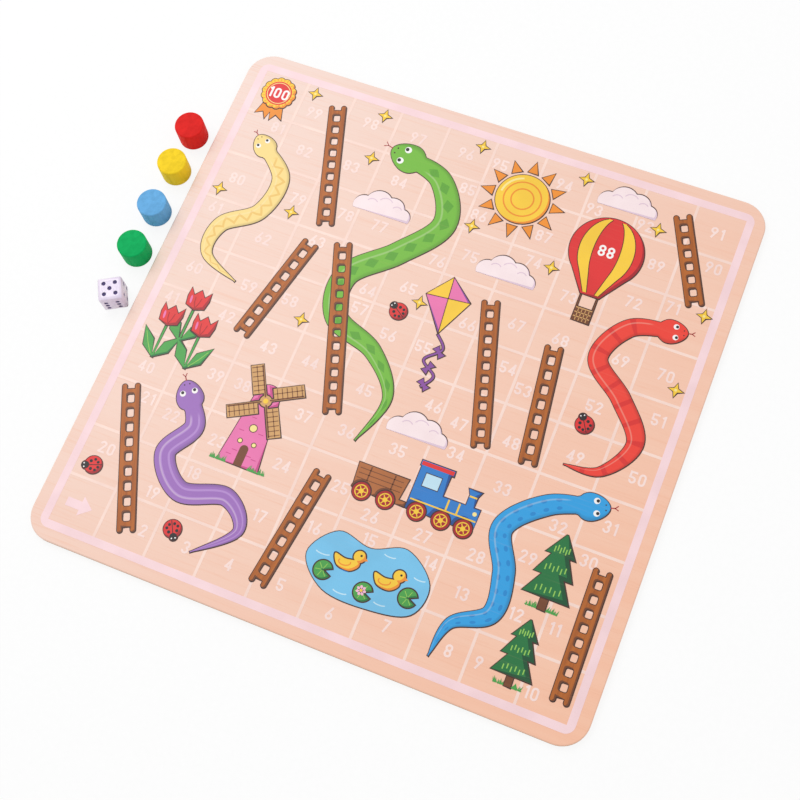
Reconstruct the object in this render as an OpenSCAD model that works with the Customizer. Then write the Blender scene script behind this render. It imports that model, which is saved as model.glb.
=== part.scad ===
// Snakes and ladders board: a plywood panel with a printed face, four wooden counters and a die.
// The origin is the middle of the panel's underside. +X runs from square 1 to square 10, +Y up the board.

/* [Panel] */
// Side of the square panel
board_side = 350; // [320:1:450]
// Radius of the panel's corners
corner_r = 17; // [6:0.5:24]
// Thickness of the face veneer
face_ply_t = 0.9; // [0.5:0.1:1.5]
// Thickness of the cross-grained core
core_ply_t = 2.2; // [1:0.1:6]
// Thickness of the back veneer
back_ply_t = 0.9; // [0.5:0.1:1.5]
// Width of the sanded edge round the face and the back
edge_ease = 0.6; // [0.2:0.1:1]

/* [Playing squares] */
// Thickness of one film of ink
ink_t = 0.08; // [0.04:0.01:0.2]
// Distance from the panel's edge to the middle of the border line
border_inset = 10; // [8:0.5:16]
// Width of the border line
border_w = 5; // [2:0.5:8]
// Outer radius of the border line's corners
border_corner_r = 6; // [2:0.5:8]
// Width of the lines between squares
grid_w = 1.8; // [0.8:0.1:3]
// Height of a square's number
number_h = 7.6; // [5:0.1:9]
// Width of the stroke that draws a number
number_stroke = 1.3; // [0.8:0.1:1.6]
// Bare gap that the key line round each printed figure fills
key_gap = 0.8; // [0.4:0.1:1.5]

/* [Ladders and snakes] */
// Width of a ladder over its rails
ladder_w = 11; // [8:0.5:14]
// Width of a rail
rail_w = 3; // [1.5:0.1:4]
// Width of a rung
rung_w = 3.2; // [1.2:0.1:4.5]
// Distance from rung to rung
rung_step = 8.4; // [6:0.1:10]
// Width of the green snake's body
green_snake_w = 15; // [10:0.5:18]
// Width of the red snake's body
red_snake_w = 11.5; // [8:0.5:15]
// Width of the blue snake's body
blue_snake_w = 12.5; // [8:0.5:15]
// Width of the yellow snake's body
yellow_snake_w = 11; // [8:0.5:14]
// Width of the purple snake's body
purple_snake_w = 12.5; // [8:0.5:15]

/* [Printed figures] */
// Diameter of the sun's disc
sun_d = 34; // [24:1:38]
// Length of a sun ray
ray_l = 8; // [5:0.5:9]
// Gap between the sun's disc and its rays
ray_gap = 2.2; // [1:0.1:3]
// Diameter of the balloon
balloon_d = 46; // [36:1:50]
// Width of the balloon's basket
basket_w = 11; // [8:0.5:14]
// Width of a rope between balloon and basket
rope_w = 0.8; // [0.5:0.1:1.5]
// Width of the kite
kite_w = 28; // [20:1:30]
// Width of the kite's tail
kite_tail_w = 1.2; // [0.8:0.1:2]
// Width of a bow on the kite's tail
bow_w = 7; // [5:0.5:9]
// Height of the windmill's tower
tower_h = 46; // [40:1:54]
// Length of a windmill sail from the hub
sail_l = 24; // [22:1:29]
// Width of the arm that carries a sail
sail_arm_w = 1.4; // [0.8:0.1:2]
// Length of the pond
pond_w = 76; // [60:1:80]
// Diameter of a lily pad
pad_d = 11; // [8:0.5:13]
// Length of a duck
duck_w = 17; // [13:0.5:18]
// Height of the tallest pine
pine_h = 46; // [36:1:50]
// Length of the engine
engine_w = 42; // [36:1:44]
// Diameter of an engine wheel
wheel_d = 11; // [8:0.5:12]
// Height of a tulip
tulip_h = 36; // [28:1:38]
// Width of a tulip's stem
tulip_stem_w = 1.3; // [0.8:0.1:2]
// Width of a cloud
cloud_w = 40; // [30:1:44]
// Diameter of a ladybird
ladybird_d = 11; // [8:0.5:13]
// Height of a sparkle
sparkle_h = 9; // [6:0.5:11]
// Diameter of the rosette on the last square
rosette_d = 23; // [18:1:24]
// Length of the arrow on the first square
arrow_l = 17; // [12:1:18]

/* [Counters and die] */
// Diameter of a counter
counter_d = 19; // [14:0.5:20]
// Height of a counter
counter_h = 16; // [8:0.5:20]
// Rounding of a counter's edges
counter_ease = 0.8; // [0.3:0.1:1.5]
// Gap between the panel's edge and the row of counters, at the die's end of it
counter_gap = 3.6; // [1:0.2:10]
// Side of the die
die_side = 16; // [12:0.5:18]
// Rounding of the die's edges
die_edge_r = 3; // [1:0.1:3.5]
// Diameter of a drilled spot
pip_d = 2.7; // [1.6:0.1:2.8]
// Depth of a drilled spot
pip_depth = 0.6; // [0.3:0.1:1]
// Thickness of the paint in a spot
pip_paint_t = 0.25; // [0.1:0.05:0.25]

/* [Hidden] */
$fn = 48;
overrun = 1;
paint_clearance = 0.02;

board_t = back_ply_t + core_ply_t + face_ply_t;
squares = 10;
grid_side = board_side - 2 * border_inset;
pitch = grid_side / squares;

// A hand-chosen place in squares, counted from the grid's lower left corner, as a point on the panel
function point_at(shares) = [for (share = shares) share * pitch - grid_side / 2];

// Ladders as foot and top, in squares
ladder_shares = [
    [[1.5, 0.4], [0.4, 2.9]],
    [[4.1, 0.4], [4.4, 2.6]],
    [[9.68, 0.4], [9.64, 2.7]],
    [[1.9, 4.6], [2.4, 6.7]],
    [[4.1, 3.75], [3.0, 6.9]],
    [[6.85, 4.1], [6.05, 6.75]],
    [[7.75, 4.1], [7.45, 6.3]],
    [[2.5, 7.2], [1.75, 9.6]],
    [[9.55, 8.0], [8.8, 9.6]]
];

// Snakes as the points that the middle of the body passes, head first, in squares
green_shares = [[3.45, 9.05], [4.25, 8.8], [4.65, 7.95], [4.05, 7.1], [3.3, 6.35], [3.45, 5.5],
    [4.35, 5.1], [4.95, 4.35], [4.7, 3.4]];
red_shares = [[9.35, 7.35], [8.6, 7.15], [8.25, 6.4], [8.9, 5.8], [9.4, 5.1], [9.0, 4.4], [8.35, 4.3]];
blue_shares = [[9.1, 3.75], [8.35, 3.5], [7.75, 2.85], [8.05, 2.1], [8.1, 1.35], [7.5, 0.95], [7.35, 0.3]];
yellow_shares = [[0.7, 8.35], [1.3, 7.8], [1.2, 7.0], [0.6, 6.5], [0.6, 5.85], [1.35, 5.5]];
purple_shares = [[1.5, 3.12], [1.84, 2.6], [1.55, 1.95], [2.1, 1.4], [2.95, 1.6], [3.4, 1.1], [2.75, 0.45]];
spline_steps = 8;
neck_share = 0.62;
neck_end_share = 0.22;
taper_start_share = 0.5;
tail_tip_share = 0.05;
head_l_share = 1.55;
head_w_share = 1.3;
head_egg_share = 0.22;

// Points of a smooth curve through the given ones, and the same closed on itself
function bend(a, b, c, d, t) = (2 * b + (c - a) * t + (2 * a - 5 * b + 4 * c - d) * t * t
    + (3 * b - a - 3 * c + d) * t * t * t) / 2;
function curve(points) = let (n = len(points) - 1) concat(
    [for (i = [0:n - 1]) for (k = [0:spline_steps - 1]) bend(points[max(i - 1, 0)], points[i],
        points[i + 1], points[min(i + 2, n)], k / spline_steps)], [points[n]]);
function loop_curve(points) = let (n = len(points)) [for (i = [0:n - 1]) for (k = [0:spline_steps - 1])
    bend(points[(i + n - 1) % n], points[i], points[(i + 1) % n], points[(i + 2) % n], k / spline_steps)];

// Unit vector to the left of a line of points at point i
function unit(v) = v / norm(v);
function side_way(line, i) = let (ahead = line[min(i + 1, len(line) - 1)], behind = line[max(i - 1, 0)],
    d = unit(ahead - behind)) [-d[1], d[0]];

// Outline of a band along a line of points, with half its width at each point
function band(line, halves) = concat(
    [for (i = [0:len(line) - 1]) line[i] - side_way(line, i) * halves[i]],
    [for (i = [len(line) - 1:-1:0]) line[i] + side_way(line, i) * halves[i]]);

// The same points on the other side of the Y axis, still in counter-clockwise order
function mirrored(points) = [for (k = [len(points) - 1:-1:0]) [-points[k][0], points[k][1]]];

// A snake's width at share s of its length: a thin neck, a full middle and a pointed tail
function neck(s) = neck_share + (1 - neck_share) * sin(90 * min(s / neck_end_share, 1));
function tail(s) = max(cos(90 * max(s - taper_start_share, 0) / (1 - taper_start_share)), tail_tip_share);
function swell(s) = neck(s) * tail(s);

// Flat shapes that several figures use
module stroke(p, q, w) {
    d = q - p;
    translate(p) rotate(atan2(d[1], d[0])) translate([0, -w / 2]) square([norm(d), w]);
}
module rounded_square(side, r) {
    square([side, side - 2 * r], center = true);
    square([side - 2 * r, side], center = true);
    for (x = [-1, 1], y = [-1, 1]) translate([x, y] * (side / 2 - r)) circle(r);
}
module place(shares) { translate(point_at(shares)) children(); }

// The plywood panel

ease_limit_share = 0.8;
function ease(t) = min(edge_ease, t * ease_limit_share);

// A rounded square plate with one face's edge sanded off
module eased_plate(t) {
    e = ease(t);
    flat = board_side - 2 * corner_r;
    profile = [[-board_side / 2, 0], [board_side / 2, 0], [board_side / 2, t - e],
        [board_side / 2 - e, t], [e - board_side / 2, t], [-board_side / 2, t - e]];
    for (turn = [0, 90]) rotate([90, 0, turn]) linear_extrude(flat, center = true) polygon(profile);
    for (x = [-1, 1], y = [-1, 1]) translate([x, y] * flat / 2) {
        cylinder(r = corner_r, h = t - e);
        translate([0, 0, t - e]) cylinder(r1 = corner_r, r2 = corner_r - e, h = e);
    }
}
module back_ply() {
    color("burlywood") translate([0, 0, back_ply_t]) mirror([0, 0, 1]) eased_plate(back_ply_t);
}
module core_ply() {
    color("peru") translate([0, 0, back_ply_t])
        linear_extrude(core_ply_t) rounded_square(board_side, corner_r);
}
module face_ply() {
    color("peachpuff") translate([0, 0, back_ply_t + core_ply_t]) eased_plate(face_ply_t);
}

// A film of ink on the panel's face, or on another film
module film(level = 0) { translate([0, 0, board_t + level * ink_t]) linear_extrude(ink_t) children(); }

// The first shape, stopped at the key line round the others, which are printed over it
module under() {
    difference() {
        children(0);
        offset(delta = key_gap) children([1:$children - 1]);
    }
}

// White ink: border, lines and numbers

module border_shape() {
    difference() {
        rounded_square(grid_side + border_w, border_corner_r);
        square(grid_side - border_w, center = true);
    }
}
module border_line() {
    color("lavenderblush") film() under() {
        border_shape();
        rosette_shape();
        tulip_leaves_shape();
        clouds_shape();
        ladybirds_shape();
    }
}
module grid_lines() {
    reach = grid_side - border_w;
    color("lavenderblush") film() difference() {
        union() for (i = [1:squares - 1], turn = [0, 90])
            rotate(turn) translate([i * pitch - grid_side / 2, 0]) square([grid_w, reach], center = true);
        figures_covered();
    }
}

digit_w_share = 0.58;
digit_w = number_h * digit_w_share;
digit_gap_share = 0.16;
digit_gap = number_h * digit_gap_share;
bowl_r = (number_h + number_stroke) / 4;
flag_share = 0.24;
four_bar_share = 0.28;
four_post_share = 0.2;
seven_foot_share = 0.2;
module ring(r) {
    difference() {
        circle(r);
        circle(r - number_stroke);
    }
}
// Part of a ring, without the quarter that lies at the left and above or below the middle
module hook(r, up) {
    difference() {
        ring(r);
        translate([-r, up > 0 ? 0 : -r]) square([r, r]);
    }
}
module digit(d) {
    s = number_stroke;
    w = digit_w / 2 - s / 2;
    h = number_h;
    if (d == 0) difference() {
        union() {
            for (y = [digit_w / 2, h - digit_w / 2]) translate([0, y]) circle(digit_w / 2);
            translate([-digit_w / 2, digit_w / 2]) square([digit_w, h - digit_w]);
        }
        for (y = [digit_w / 2, h - digit_w / 2]) translate([0, y]) circle(w - s / 2);
        translate([s / 2 - w, digit_w / 2]) square([2 * w - s, h - digit_w]);
    }
    if (d == 1) {
        stroke([w / 2, 0], [w / 2, h], s);
        stroke([w / 2, h - s / 2], [-w / 2, h * (1 - flag_share)], s);
    }
    if (d == 2) {
        translate([0, h - bowl_r]) difference() {
            ring(bowl_r);
            translate([-bowl_r, -bowl_r]) square([2 * bowl_r, bowl_r]);
        }
        stroke([bowl_r - s / 2, h - bowl_r], [s / 2 - bowl_r, s / 2], s);
        stroke([-bowl_r, s / 2], [bowl_r, s / 2], s);
    }
    if (d == 3) for (up = [-1, 1]) translate([0, up > 0 ? h - bowl_r : bowl_r]) hook(bowl_r, -up);
    if (d == 4) {
        stroke([-digit_w / 2, h * four_bar_share], [digit_w / 2, h * four_bar_share], s);
        stroke([digit_w * four_post_share, 0], [digit_w * four_post_share, h], s);
        stroke([s / 2 - digit_w / 2, h * four_bar_share], [digit_w * four_post_share, h - s / 2], s);
    }
    if (d == 5) {
        translate([0, bowl_r]) hook(bowl_r, 1);
        stroke([s / 2 - bowl_r, 2 * bowl_r - s], [s / 2 - bowl_r, h], s);
        stroke([s / 2 - bowl_r, 2 * bowl_r - s / 2], [0, 2 * bowl_r - s / 2], s);
        stroke([-bowl_r, h - s / 2], [bowl_r, h - s / 2], s);
    }
    if (d == 6) {
        translate([0, bowl_r]) ring(bowl_r);
        stroke([s / 2 - bowl_r, bowl_r], [bowl_r / 2, h], s);
    }
    if (d == 7) {
        stroke([-digit_w / 2, h - s / 2], [digit_w / 2, h - s / 2], s);
        stroke([w, h - s / 2], [-digit_w * seven_foot_share, 0], s);
    }
    if (d == 8) for (y = [bowl_r, h - bowl_r]) translate([0, y]) ring(bowl_r);
    if (d == 9) translate([0, h]) rotate(180) digit(6);
}
// Width of one digit, and of the first few digits with the gap after each
function digit_span(d) = d == 1 ? (digit_w + number_stroke) / 2 : digit_w;
function row_span(digits, count) = count == 0 ? 0
    : row_span(digits, count - 1) + digit_span(digits[count - 1]) + digit_gap;
// A whole number, centred on its place
module number(n) {
    digits = [for (c = str(n)) ord(c) - ord("0")];
    start = (digit_gap - row_span(digits, len(digits))) / 2;
    for (i = [0:len(digits) - 1])
        translate([start + row_span(digits, i) + digit_span(digits[i]) / 2, -number_h / 2]) digit(digits[i]);
}
// Column and row of a square: the rows run to and fro
function square_corner(n) = let (row = floor((n - 1) / squares), along = (n - 1) % squares)
    [row % 2 == 0 ? along : squares - 1 - along, row];

// Where a number stands in its square, one letter for each square in turn. The letters a to y fill
// a field of five by five places, with a at the upper left and m in the middle.
// A dash leaves the number out: an arrow stands there, or the number is printed over a figure.
number_spots = [
    "-onmmrmnkp",
    "kmmedinaxh",
    "eglnowwwlb",
    "mxmcmmngjr",
    "bcmlroqqmn",
    "impjkmemnm",
    "bmcymynmnm",
    "ahqclymoom",
    "emmmepr-nd",
    "muumkmmmq-"
];
number_field = 5;
number_clear = 0.7;
number_edge = digit_w + (digit_gap + grid_w) / 2 + number_clear;
function number_letter(n) = number_spots[floor((n - 1) / squares)][(n - 1) % squares];
function number_point(n) = let (i = ord(number_letter(n)) - ord("a"),
    step = (pitch - 2 * number_edge) / (number_field - 1),
    across = number_edge + i % number_field * step,
    up = pitch - number_edge - floor(i / number_field) * step) point_at(square_corner(n)) + [across, up];

module square_numbers() {
    color("lavenderblush") film() difference() {
        for (n = [1:squares * squares]) if (number_letter(n) != "-") translate(number_point(n)) number(n);
        figures_covered();
    }
}

// Ladders

rung_end_share = 0.4;
gap_round_share = 0.28;
gap_corner_steps = 4;
// Outline of a gap between two rungs, with rounded corners
function gap_outline(l, w) = let (r = min(l, w) * gap_round_share) [for (k = [0:3], i = [0:gap_corner_steps])
    let (a = 90 * (k + i / gap_corner_steps), x = k == 0 || k == 3 ? 1 : -1, y = k < 2 ? 1 : -1)
    [x * (l / 2 - r) + r * cos(a), y * (w / 2 - r) + r * sin(a)]];
// Two rails with round ends and a web between them, opened between its rungs
module ladder_shape(k) {
    foot = point_at(ladder_shares[k][0]);
    top = point_at(ladder_shares[k][1]);
    d = top - foot;
    reach = norm(d);
    margin = rung_step * rung_end_share;
    gaps = max(floor((reach - 2 * margin) / rung_step), 1);
    step = (reach - 2 * margin) / gaps;
    rail_y = (ladder_w - rail_w) / 2;
    gap = gap_outline(step - rung_w, ladder_w - 2 * rail_w);
    translate(foot) rotate(atan2(d[1], d[0])) difference() {
        union() {
            for (y = [-rail_y, rail_y]) {
                translate([0, y - rail_w / 2]) square([reach, rail_w]);
                for (x = [0, reach]) translate([x, y]) circle(d = rail_w);
            }
            translate([margin - rung_w / 2, -rail_y]) square([gaps * step + rung_w, 2 * rail_y]);
        }
        for (i = [0:gaps - 1]) translate([margin + (i + 0.5) * step, 0]) polygon(gap);
    }
}
module ladder(k) { color("sienna") film() ladder_shape(k); }

// Snakes

module snake_shape(shares, w) {
    line = curve([for (share = shares) point_at(share)]);
    n = len(line) - 1;
    head_l = w * head_l_share;
    way = unit(line[0] - line[1]);
    polygon(band(line, [for (i = [0:n]) swell(i / n) * w / 2]));
    translate(line[0]) rotate(atan2(way[1], way[0])) polygon([for (a = [0:15:345])
        [head_l / 2 * cos(a), w * head_w_share / 2 * sin(a) * (1 - head_egg_share * cos(a))]]);
}
module green_shape() { snake_shape(green_shares, green_snake_w); }
module red_shape() { snake_shape(red_shares, red_snake_w); }
module blue_shape() { snake_shape(blue_shares, blue_snake_w); }
module yellow_shape() { snake_shape(yellow_shares, yellow_snake_w); }
module purple_shape() { snake_shape(purple_shares, purple_snake_w); }

ladder_on_green = 4;
module green_snake() {
    color("limegreen") film() under() {
        green_shape();
        ladder_shape(ladder_on_green);
    }
}
module red_snake() { color("tomato") film() red_shape(); }
module blue_snake() { color("deepskyblue") film() blue_shape(); }
module yellow_snake() { color("khaki") film() yellow_shape(); }
module purple_snake() { color("mediumpurple") film() purple_shape(); }

// Sun

sun_shares = [5.85, 8.95];
sun_rays = 12;
ray_w_share = 0.8;
module sun_shape() { place(sun_shares) circle(d = sun_d); }
module sun_rays_shape() {
    w = ray_l * ray_w_share;
    place(sun_shares) for (i = [1:sun_rays]) rotate(i * 360 / sun_rays) translate([sun_d / 2 + ray_gap, 0])
        polygon([[0, -w / 2], [ray_l, 0], [0, w / 2]]);
}
module sun() { color("gold") film() sun_shape(); }
module sun_rays() { color("orange") film() sun_rays_shape(); }

// Hot-air balloon

balloon_shares = [7.7, 8.45];
balloon_shoulder_shares = [0.44, -0.235];
balloon_mouth_shares = [0.13, -0.68];
basket_drop_share = 0.87;
basket_h_share = 0.85;
module balloon_shape() {
    shoulder = balloon_d * balloon_shoulder_shares;
    mouth = balloon_d * balloon_mouth_shares;
    place(balloon_shares) {
        circle(d = balloon_d);
        polygon([[-shoulder[0], shoulder[1]], [-mouth[0], mouth[1]], mouth, shoulder]);
    }
}
module basket_shape() {
    mouth = balloon_d * balloon_mouth_shares - [0, key_gap];
    rim = -balloon_d * basket_drop_share;
    h = basket_w * basket_h_share;
    place(balloon_shares) {
        translate([-basket_w / 2, rim - h]) square([basket_w, h]);
        for (x = [-1, 1]) stroke([x * (mouth[0] - rope_w), mouth[1]],
            [x * (basket_w - rope_w) / 2, rim - rope_w], rope_w);
    }
}
module balloon() { color("crimson") film() balloon_shape(); }
module balloon_basket() { color("saddlebrown") film() basket_shape(); }

// Kite

kite_place_shares = [5.35, 5.85];
kite_turn = 6;
kite_h_share = 1.35;
kite_cross_share = 0.62;
kite_tail_shares = [[0, 0], [0.2, -0.32], [-0.14, -0.64], [0.17, -0.96], [-0.04, -1.25]];
bow_shares = [0.32, 0.62, 0.95];
bow_h_share = 0.62;
module kite_shape() {
    h = kite_w * kite_h_share;
    place(kite_place_shares) rotate(kite_turn)
        polygon([[0, 0], [kite_w / 2, h * kite_cross_share], [0, h], [-kite_w / 2, h * kite_cross_share]]);
}
module kite_tail_shape() {
    line = curve([for (share = kite_tail_shares) share * kite_w - [0, key_gap]]);
    n = len(line) - 1;
    h = bow_w * bow_h_share;
    place(kite_place_shares) rotate(kite_turn) {
        polygon(band(line, [for (i = [0:n]) kite_tail_w / 2]));
        for (share = bow_shares) let (i = round(share * n), way = side_way(line, i))
            translate(line[i]) rotate(atan2(way[1], way[0]))
                polygon([[-bow_w / 2, -h / 2], [0, -kite_tail_w / 2], [bow_w / 2, -h / 2],
                    [bow_w / 2, h / 2], [0, kite_tail_w / 2], [-bow_w / 2, h / 2]]);
    }
}
module kite() { color("hotpink") film() kite_shape(); }
module kite_tail() { color("mediumvioletred") film() kite_tail_shape(); }

// Windmill

windmill_shares = [2.88, 2.2];
tower_foot_share = 0.58;
tower_head_share = 0.34;
hub_share = 0.94;
sail_w_share = 0.3;
sail_start_share = 0.22;
sail_turn = 28;
module sails_shape() {
    w = sail_l * sail_w_share;
    place(windmill_shares) translate([0, tower_h * hub_share]) {
        circle(d = w);
        for (i = [0:3]) rotate(sail_turn + i * 90) {
            stroke([0, 0], [sail_l, 0], sail_arm_w);
            translate([sail_l * sail_start_share, 0]) square([sail_l * (1 - sail_start_share), w]);
        }
    }
}
module tower_shape() {
    foot = tower_h * tower_foot_share / 2;
    head = tower_h * tower_head_share / 2;
    under() {
        place(windmill_shares) {
            polygon([[-foot, 0], [foot, 0], [head, tower_h], [-head, tower_h]]);
            translate([0, tower_h]) circle(head);
        }
        sails_shape();
    }
}
module windmill_tower() { color("orchid") film() tower_shape(); }
module windmill_sails() { color("peru") film() sails_shape(); }

// Pond with lily pads and ducks

pond_place_shares = [5.85, 1.2];
pond_shares = [[-0.5, 0.0], [-0.28, -0.22], [0.1, -0.24], [0.42, -0.16], [0.47, 0.1], [0.22, 0.29],
    [-0.05, 0.2], [-0.33, 0.24]];
pad_shares = [[-0.33, -0.08], [0.02, -0.13], [0.355, -0.05]];
pad_notch = 50;
duck_shares = [[-0.18, 0.03], [0.16, 0.0]];
duck_body_shares = [[-0.5, 0.2], [-0.3, -0.16], [0.15, -0.22], [0.42, 0.0], [0.36, 0.2], [-0.1, 0.14]];
duck_head_shares = [0.34, 0.36];
duck_head_d_share = 0.42;
module at_pond(shares) { place(pond_place_shares) translate(shares * pond_w) children(); }
module pads_shape() {
    for (share = pad_shares) at_pond(share) difference() {
        circle(d = pad_d);
        polygon([[0, 0], [pad_d, -pad_d * tan(pad_notch / 2)], [pad_d, pad_d * tan(pad_notch / 2)]]);
    }
}
module ducks_shape() {
    for (share = duck_shares) at_pond(share) {
        polygon(loop_curve(duck_body_shares * duck_w));
        translate(duck_head_shares * duck_w) circle(d = duck_w * duck_head_d_share);
    }
}
module pond_shape() {
    under() {
        at_pond([0, 0]) polygon(loop_curve(pond_shares * pond_w));
        pads_shape();
        ducks_shape();
    }
}
module pond() { color("dodgerblue") film() pond_shape(); }
module lily_pads() {
    color("seagreen") film() under() {
        pads_shape();
        ducks_shape();
    }
}
module ducks() { color("gold") film() ducks_shape(); }

// Pine trees

pine_places_shares = [[8.78, 0.3], [8.86, 1.72]];
pine_size_shares = [0.86, 1];
pine_half_shares = [[0.3, 0.16], [0.14, 0.44], [0.25, 0.44], [0.11, 0.72], [0.19, 0.72], [0.01, 1]];
pine_trunk_shares = [0.1, 0.16];
module pines_shape() {
    for (i = [0:len(pine_places_shares) - 1]) place(pine_places_shares[i]) {
        right = pine_half_shares * pine_h * pine_size_shares[i];
        polygon(concat(right, mirrored(right)));
    }
}
module pine_trunks_shape() {
    for (i = [0:len(pine_places_shares) - 1]) place(pine_places_shares[i]) {
        trunk = pine_trunk_shares * pine_h * pine_size_shares[i];
        translate([-trunk[0] / 2, 0]) square(trunk);
    }
}
module pines() { color("forestgreen") film() pines_shape(); }
module pine_trunks() {
    color("saddlebrown") film() under() {
        pine_trunks_shape();
        pines_shape();
    }
}

// Steam engine

engine_shares = [6.65, 2.4];
// Outlines above the axles: the first and the last point stand over the ends of the underside
engine_outline_shares = [[0.5, 0.46], [0.4, 0.46], [0.4, 0.62], [0.44, 0.7], [0.24, 0.7], [0.28, 0.62],
    [0.28, 0.46], [-0.06, 0.46], [-0.06, 0.78], [-0.02, 0.78], [-0.02, 0.86], [-0.52, 0.86], [-0.52, 0.78],
    [-0.5, 0.78]];
wagon_outline_shares = [[-0.52, 0.2], [-0.62, 0.2], [-0.58, 0.52], [-1.34, 0.52], [-1.31, 0.2]];
wheel_shares = [-1.16, -0.8, -0.33, 0.03, 0.36];
function above_axles(points) = let (axle = wheel_d / 2, n = len(points) - 1)
    concat([[points[n][0], axle], [points[0][0], axle]], points);
module wheels_shape() {
    place(engine_shares) for (share = wheel_shares)
        translate([share * engine_w, wheel_d / 2]) circle(d = wheel_d);
}
module wagon_shape() {
    under() {
        place(engine_shares) polygon(above_axles(wagon_outline_shares * engine_w));
        wheels_shape();
    }
}
module engine_shape() {
    under() {
        place(engine_shares) polygon(above_axles(engine_outline_shares * engine_w));
        wheels_shape();
    }
}
module engine() { color("royalblue") film() engine_shape(); }
module wagon() { color("chocolate") film() wagon_shape(); }
module engine_wheels() { color("firebrick") film() wheels_shape(); }

// Tulips

tulip_bed_shares = [0.5, 3.56];
tulip_step_shares = [[0, 0], [0.32, 0.42], [0.62, 0]];
tulip_head_shares = [[0, 0.62], [0.17, 0.68], [0.2, 0.84], [0.19, 1], [0.1, 0.88], [0, 1], [-0.1, 0.88],
    [-0.19, 1], [-0.2, 0.84], [-0.17, 0.68]];
tulip_leaf_shares = [[0, 0], [0.24, 0.16], [0.34, 0.5], [0.1, 0.32]];
module tulip_heads_shape() {
    for (share = tulip_step_shares) place(tulip_bed_shares) translate(share * tulip_h)
        polygon(tulip_head_shares * tulip_h);
}
module tulip_leaves_shape() {
    top = tulip_head_shares[0] * tulip_h;
    leaf = tulip_leaf_shares * tulip_h;
    for (share = tulip_step_shares) place(tulip_bed_shares) translate(share * tulip_h) {
        stroke([0, 0], top, tulip_stem_w);
        polygon(leaf);
        polygon(mirrored(leaf));
    }
}
module tulip_heads() { color("red") film() tulip_heads_shape(); }
module tulip_leaves() {
    color("green") film() under() {
        tulip_leaves_shape();
        tulip_heads_shape();
    }
}

// Clouds: three puffs on a flat foot

cloud_places_shares = [[3.4, 7.72], [6.1, 7.25], [7.75, 9.36], [5.7, 3.8]];
cloud_puff_shares = [[-0.3, 0.08, 0.17], [-0.08, 0.18, 0.22], [0.16, 0.15, 0.2], [0.34, 0.06, 0.15]];
module clouds_shape() {
    for (share = cloud_places_shares) place(share) difference() {
        for (puff = cloud_puff_shares * cloud_w) translate([puff[0], puff[1]]) circle(puff[2]);
        translate([-cloud_w, -cloud_w]) square([2 * cloud_w, cloud_w]);
    }
}
module clouds() {
    color("white") film() under() {
        clouds_shape();
        kite_tail_shape();
        engine_shape();
    }
}

// Ladybirds

ladybird_shares = [[4.5, 6.0], [2.28, 0.72], [8.45, 5.12], [0.4, 1.28]];
ladybird_turns = [145, -60, 120, 200];
ladybird_head_out_share = 0.42;
ladybird_head_d_share = 0.46;
module ladybirds_shape() {
    for (i = [0:len(ladybird_shares) - 1]) place(ladybird_shares[i]) rotate(ladybird_turns[i]) {
        circle(d = ladybird_d);
        translate([ladybird_d * ladybird_head_out_share, 0]) circle(d = ladybird_d * ladybird_head_d_share);
    }
}
module ladybirds() { color("orangered") film() ladybirds_shape(); }

// Sparkles

sparkle_shares = [[1.2, 9.75], [2.7, 9.75], [4.75, 9.75], [6.85, 9.75], [8.45, 9.2], [2.8, 8.8], [5.15, 8.1],
    [6.85, 7.8], [9.78, 7.83], [0.25, 7.2], [1.78, 7.2], [4.8, 6.3], [9.75, 6.3], [2.85, 5.22]];
sparkle_waist_share = 0.13;
module sparkles_shape() {
    r = sparkle_h / 2;
    waist = sparkle_h * sparkle_waist_share;
    for (share = sparkle_shares) place(share)
        polygon([for (i = [0:3]) for (p = [[r, 0], [waist, waist]])
            [p[0] * cos(i * 90) - p[1] * sin(i * 90), p[0] * sin(i * 90) + p[1] * cos(i * 90)]]);
}
module sparkles() { color("yellow") film() sparkles_shape(); }

// First and last squares

last_shares = [0.5, 9.52];
rosette_lobes = 14;
rosette_lobe_share = 0.24;
ribbon_l_share = 0.86;
ribbon_w_share = 0.34;
ribbon_turn = 16;
module rosette_shape() {
    lobe = rosette_d * rosette_lobe_share;
    ring_r = (rosette_d - lobe) / 2;
    place(last_shares) {
        circle(ring_r);
        for (i = [1:rosette_lobes]) rotate(i * 360 / rosette_lobes) translate([ring_r, 0]) circle(d = lobe);
    }
}
module ribbons_shape() {
    w = rosette_d * ribbon_w_share;
    l = rosette_d * ribbon_l_share;
    under() {
        place(last_shares) for (x = [-1, 1]) rotate(x * ribbon_turn)
            polygon([[-w / 2, 0], [w / 2, 0], [w / 2, -l], [0, w / 2 - l], [-w / 2, -l]]);
        rosette_shape();
    }
}
module rosette() { color("gold") film() rosette_shape(); }
module rosette_ribbons() { color("darkorange") film() ribbons_shape(); }

first_shares = [0.5, 0.5];
arrow_head_share = 0.45;
arrow_shaft_share = 0.32;
arrow_w_share = 0.72;
module arrow_shape() {
    neck = arrow_l / 2 - arrow_l * arrow_head_share;
    shaft = arrow_l * arrow_shaft_share / 2;
    half = arrow_l * arrow_w_share / 2;
    place(first_shares) polygon([[-arrow_l / 2, -shaft], [neck, -shaft], [neck, -half], [arrow_l / 2, 0],
        [neck, half], [neck, shaft], [-arrow_l / 2, shaft]]);
}
module start_arrow() { color("white") film() arrow_shape(); }

// Numbers printed over a figure
balloon_square = 88;
module figure_numbers() {
    color("white") film(1) {
        place(last_shares) number(squares * squares);
        place(balloon_shares) number(balloon_square);
    }
}

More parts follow.
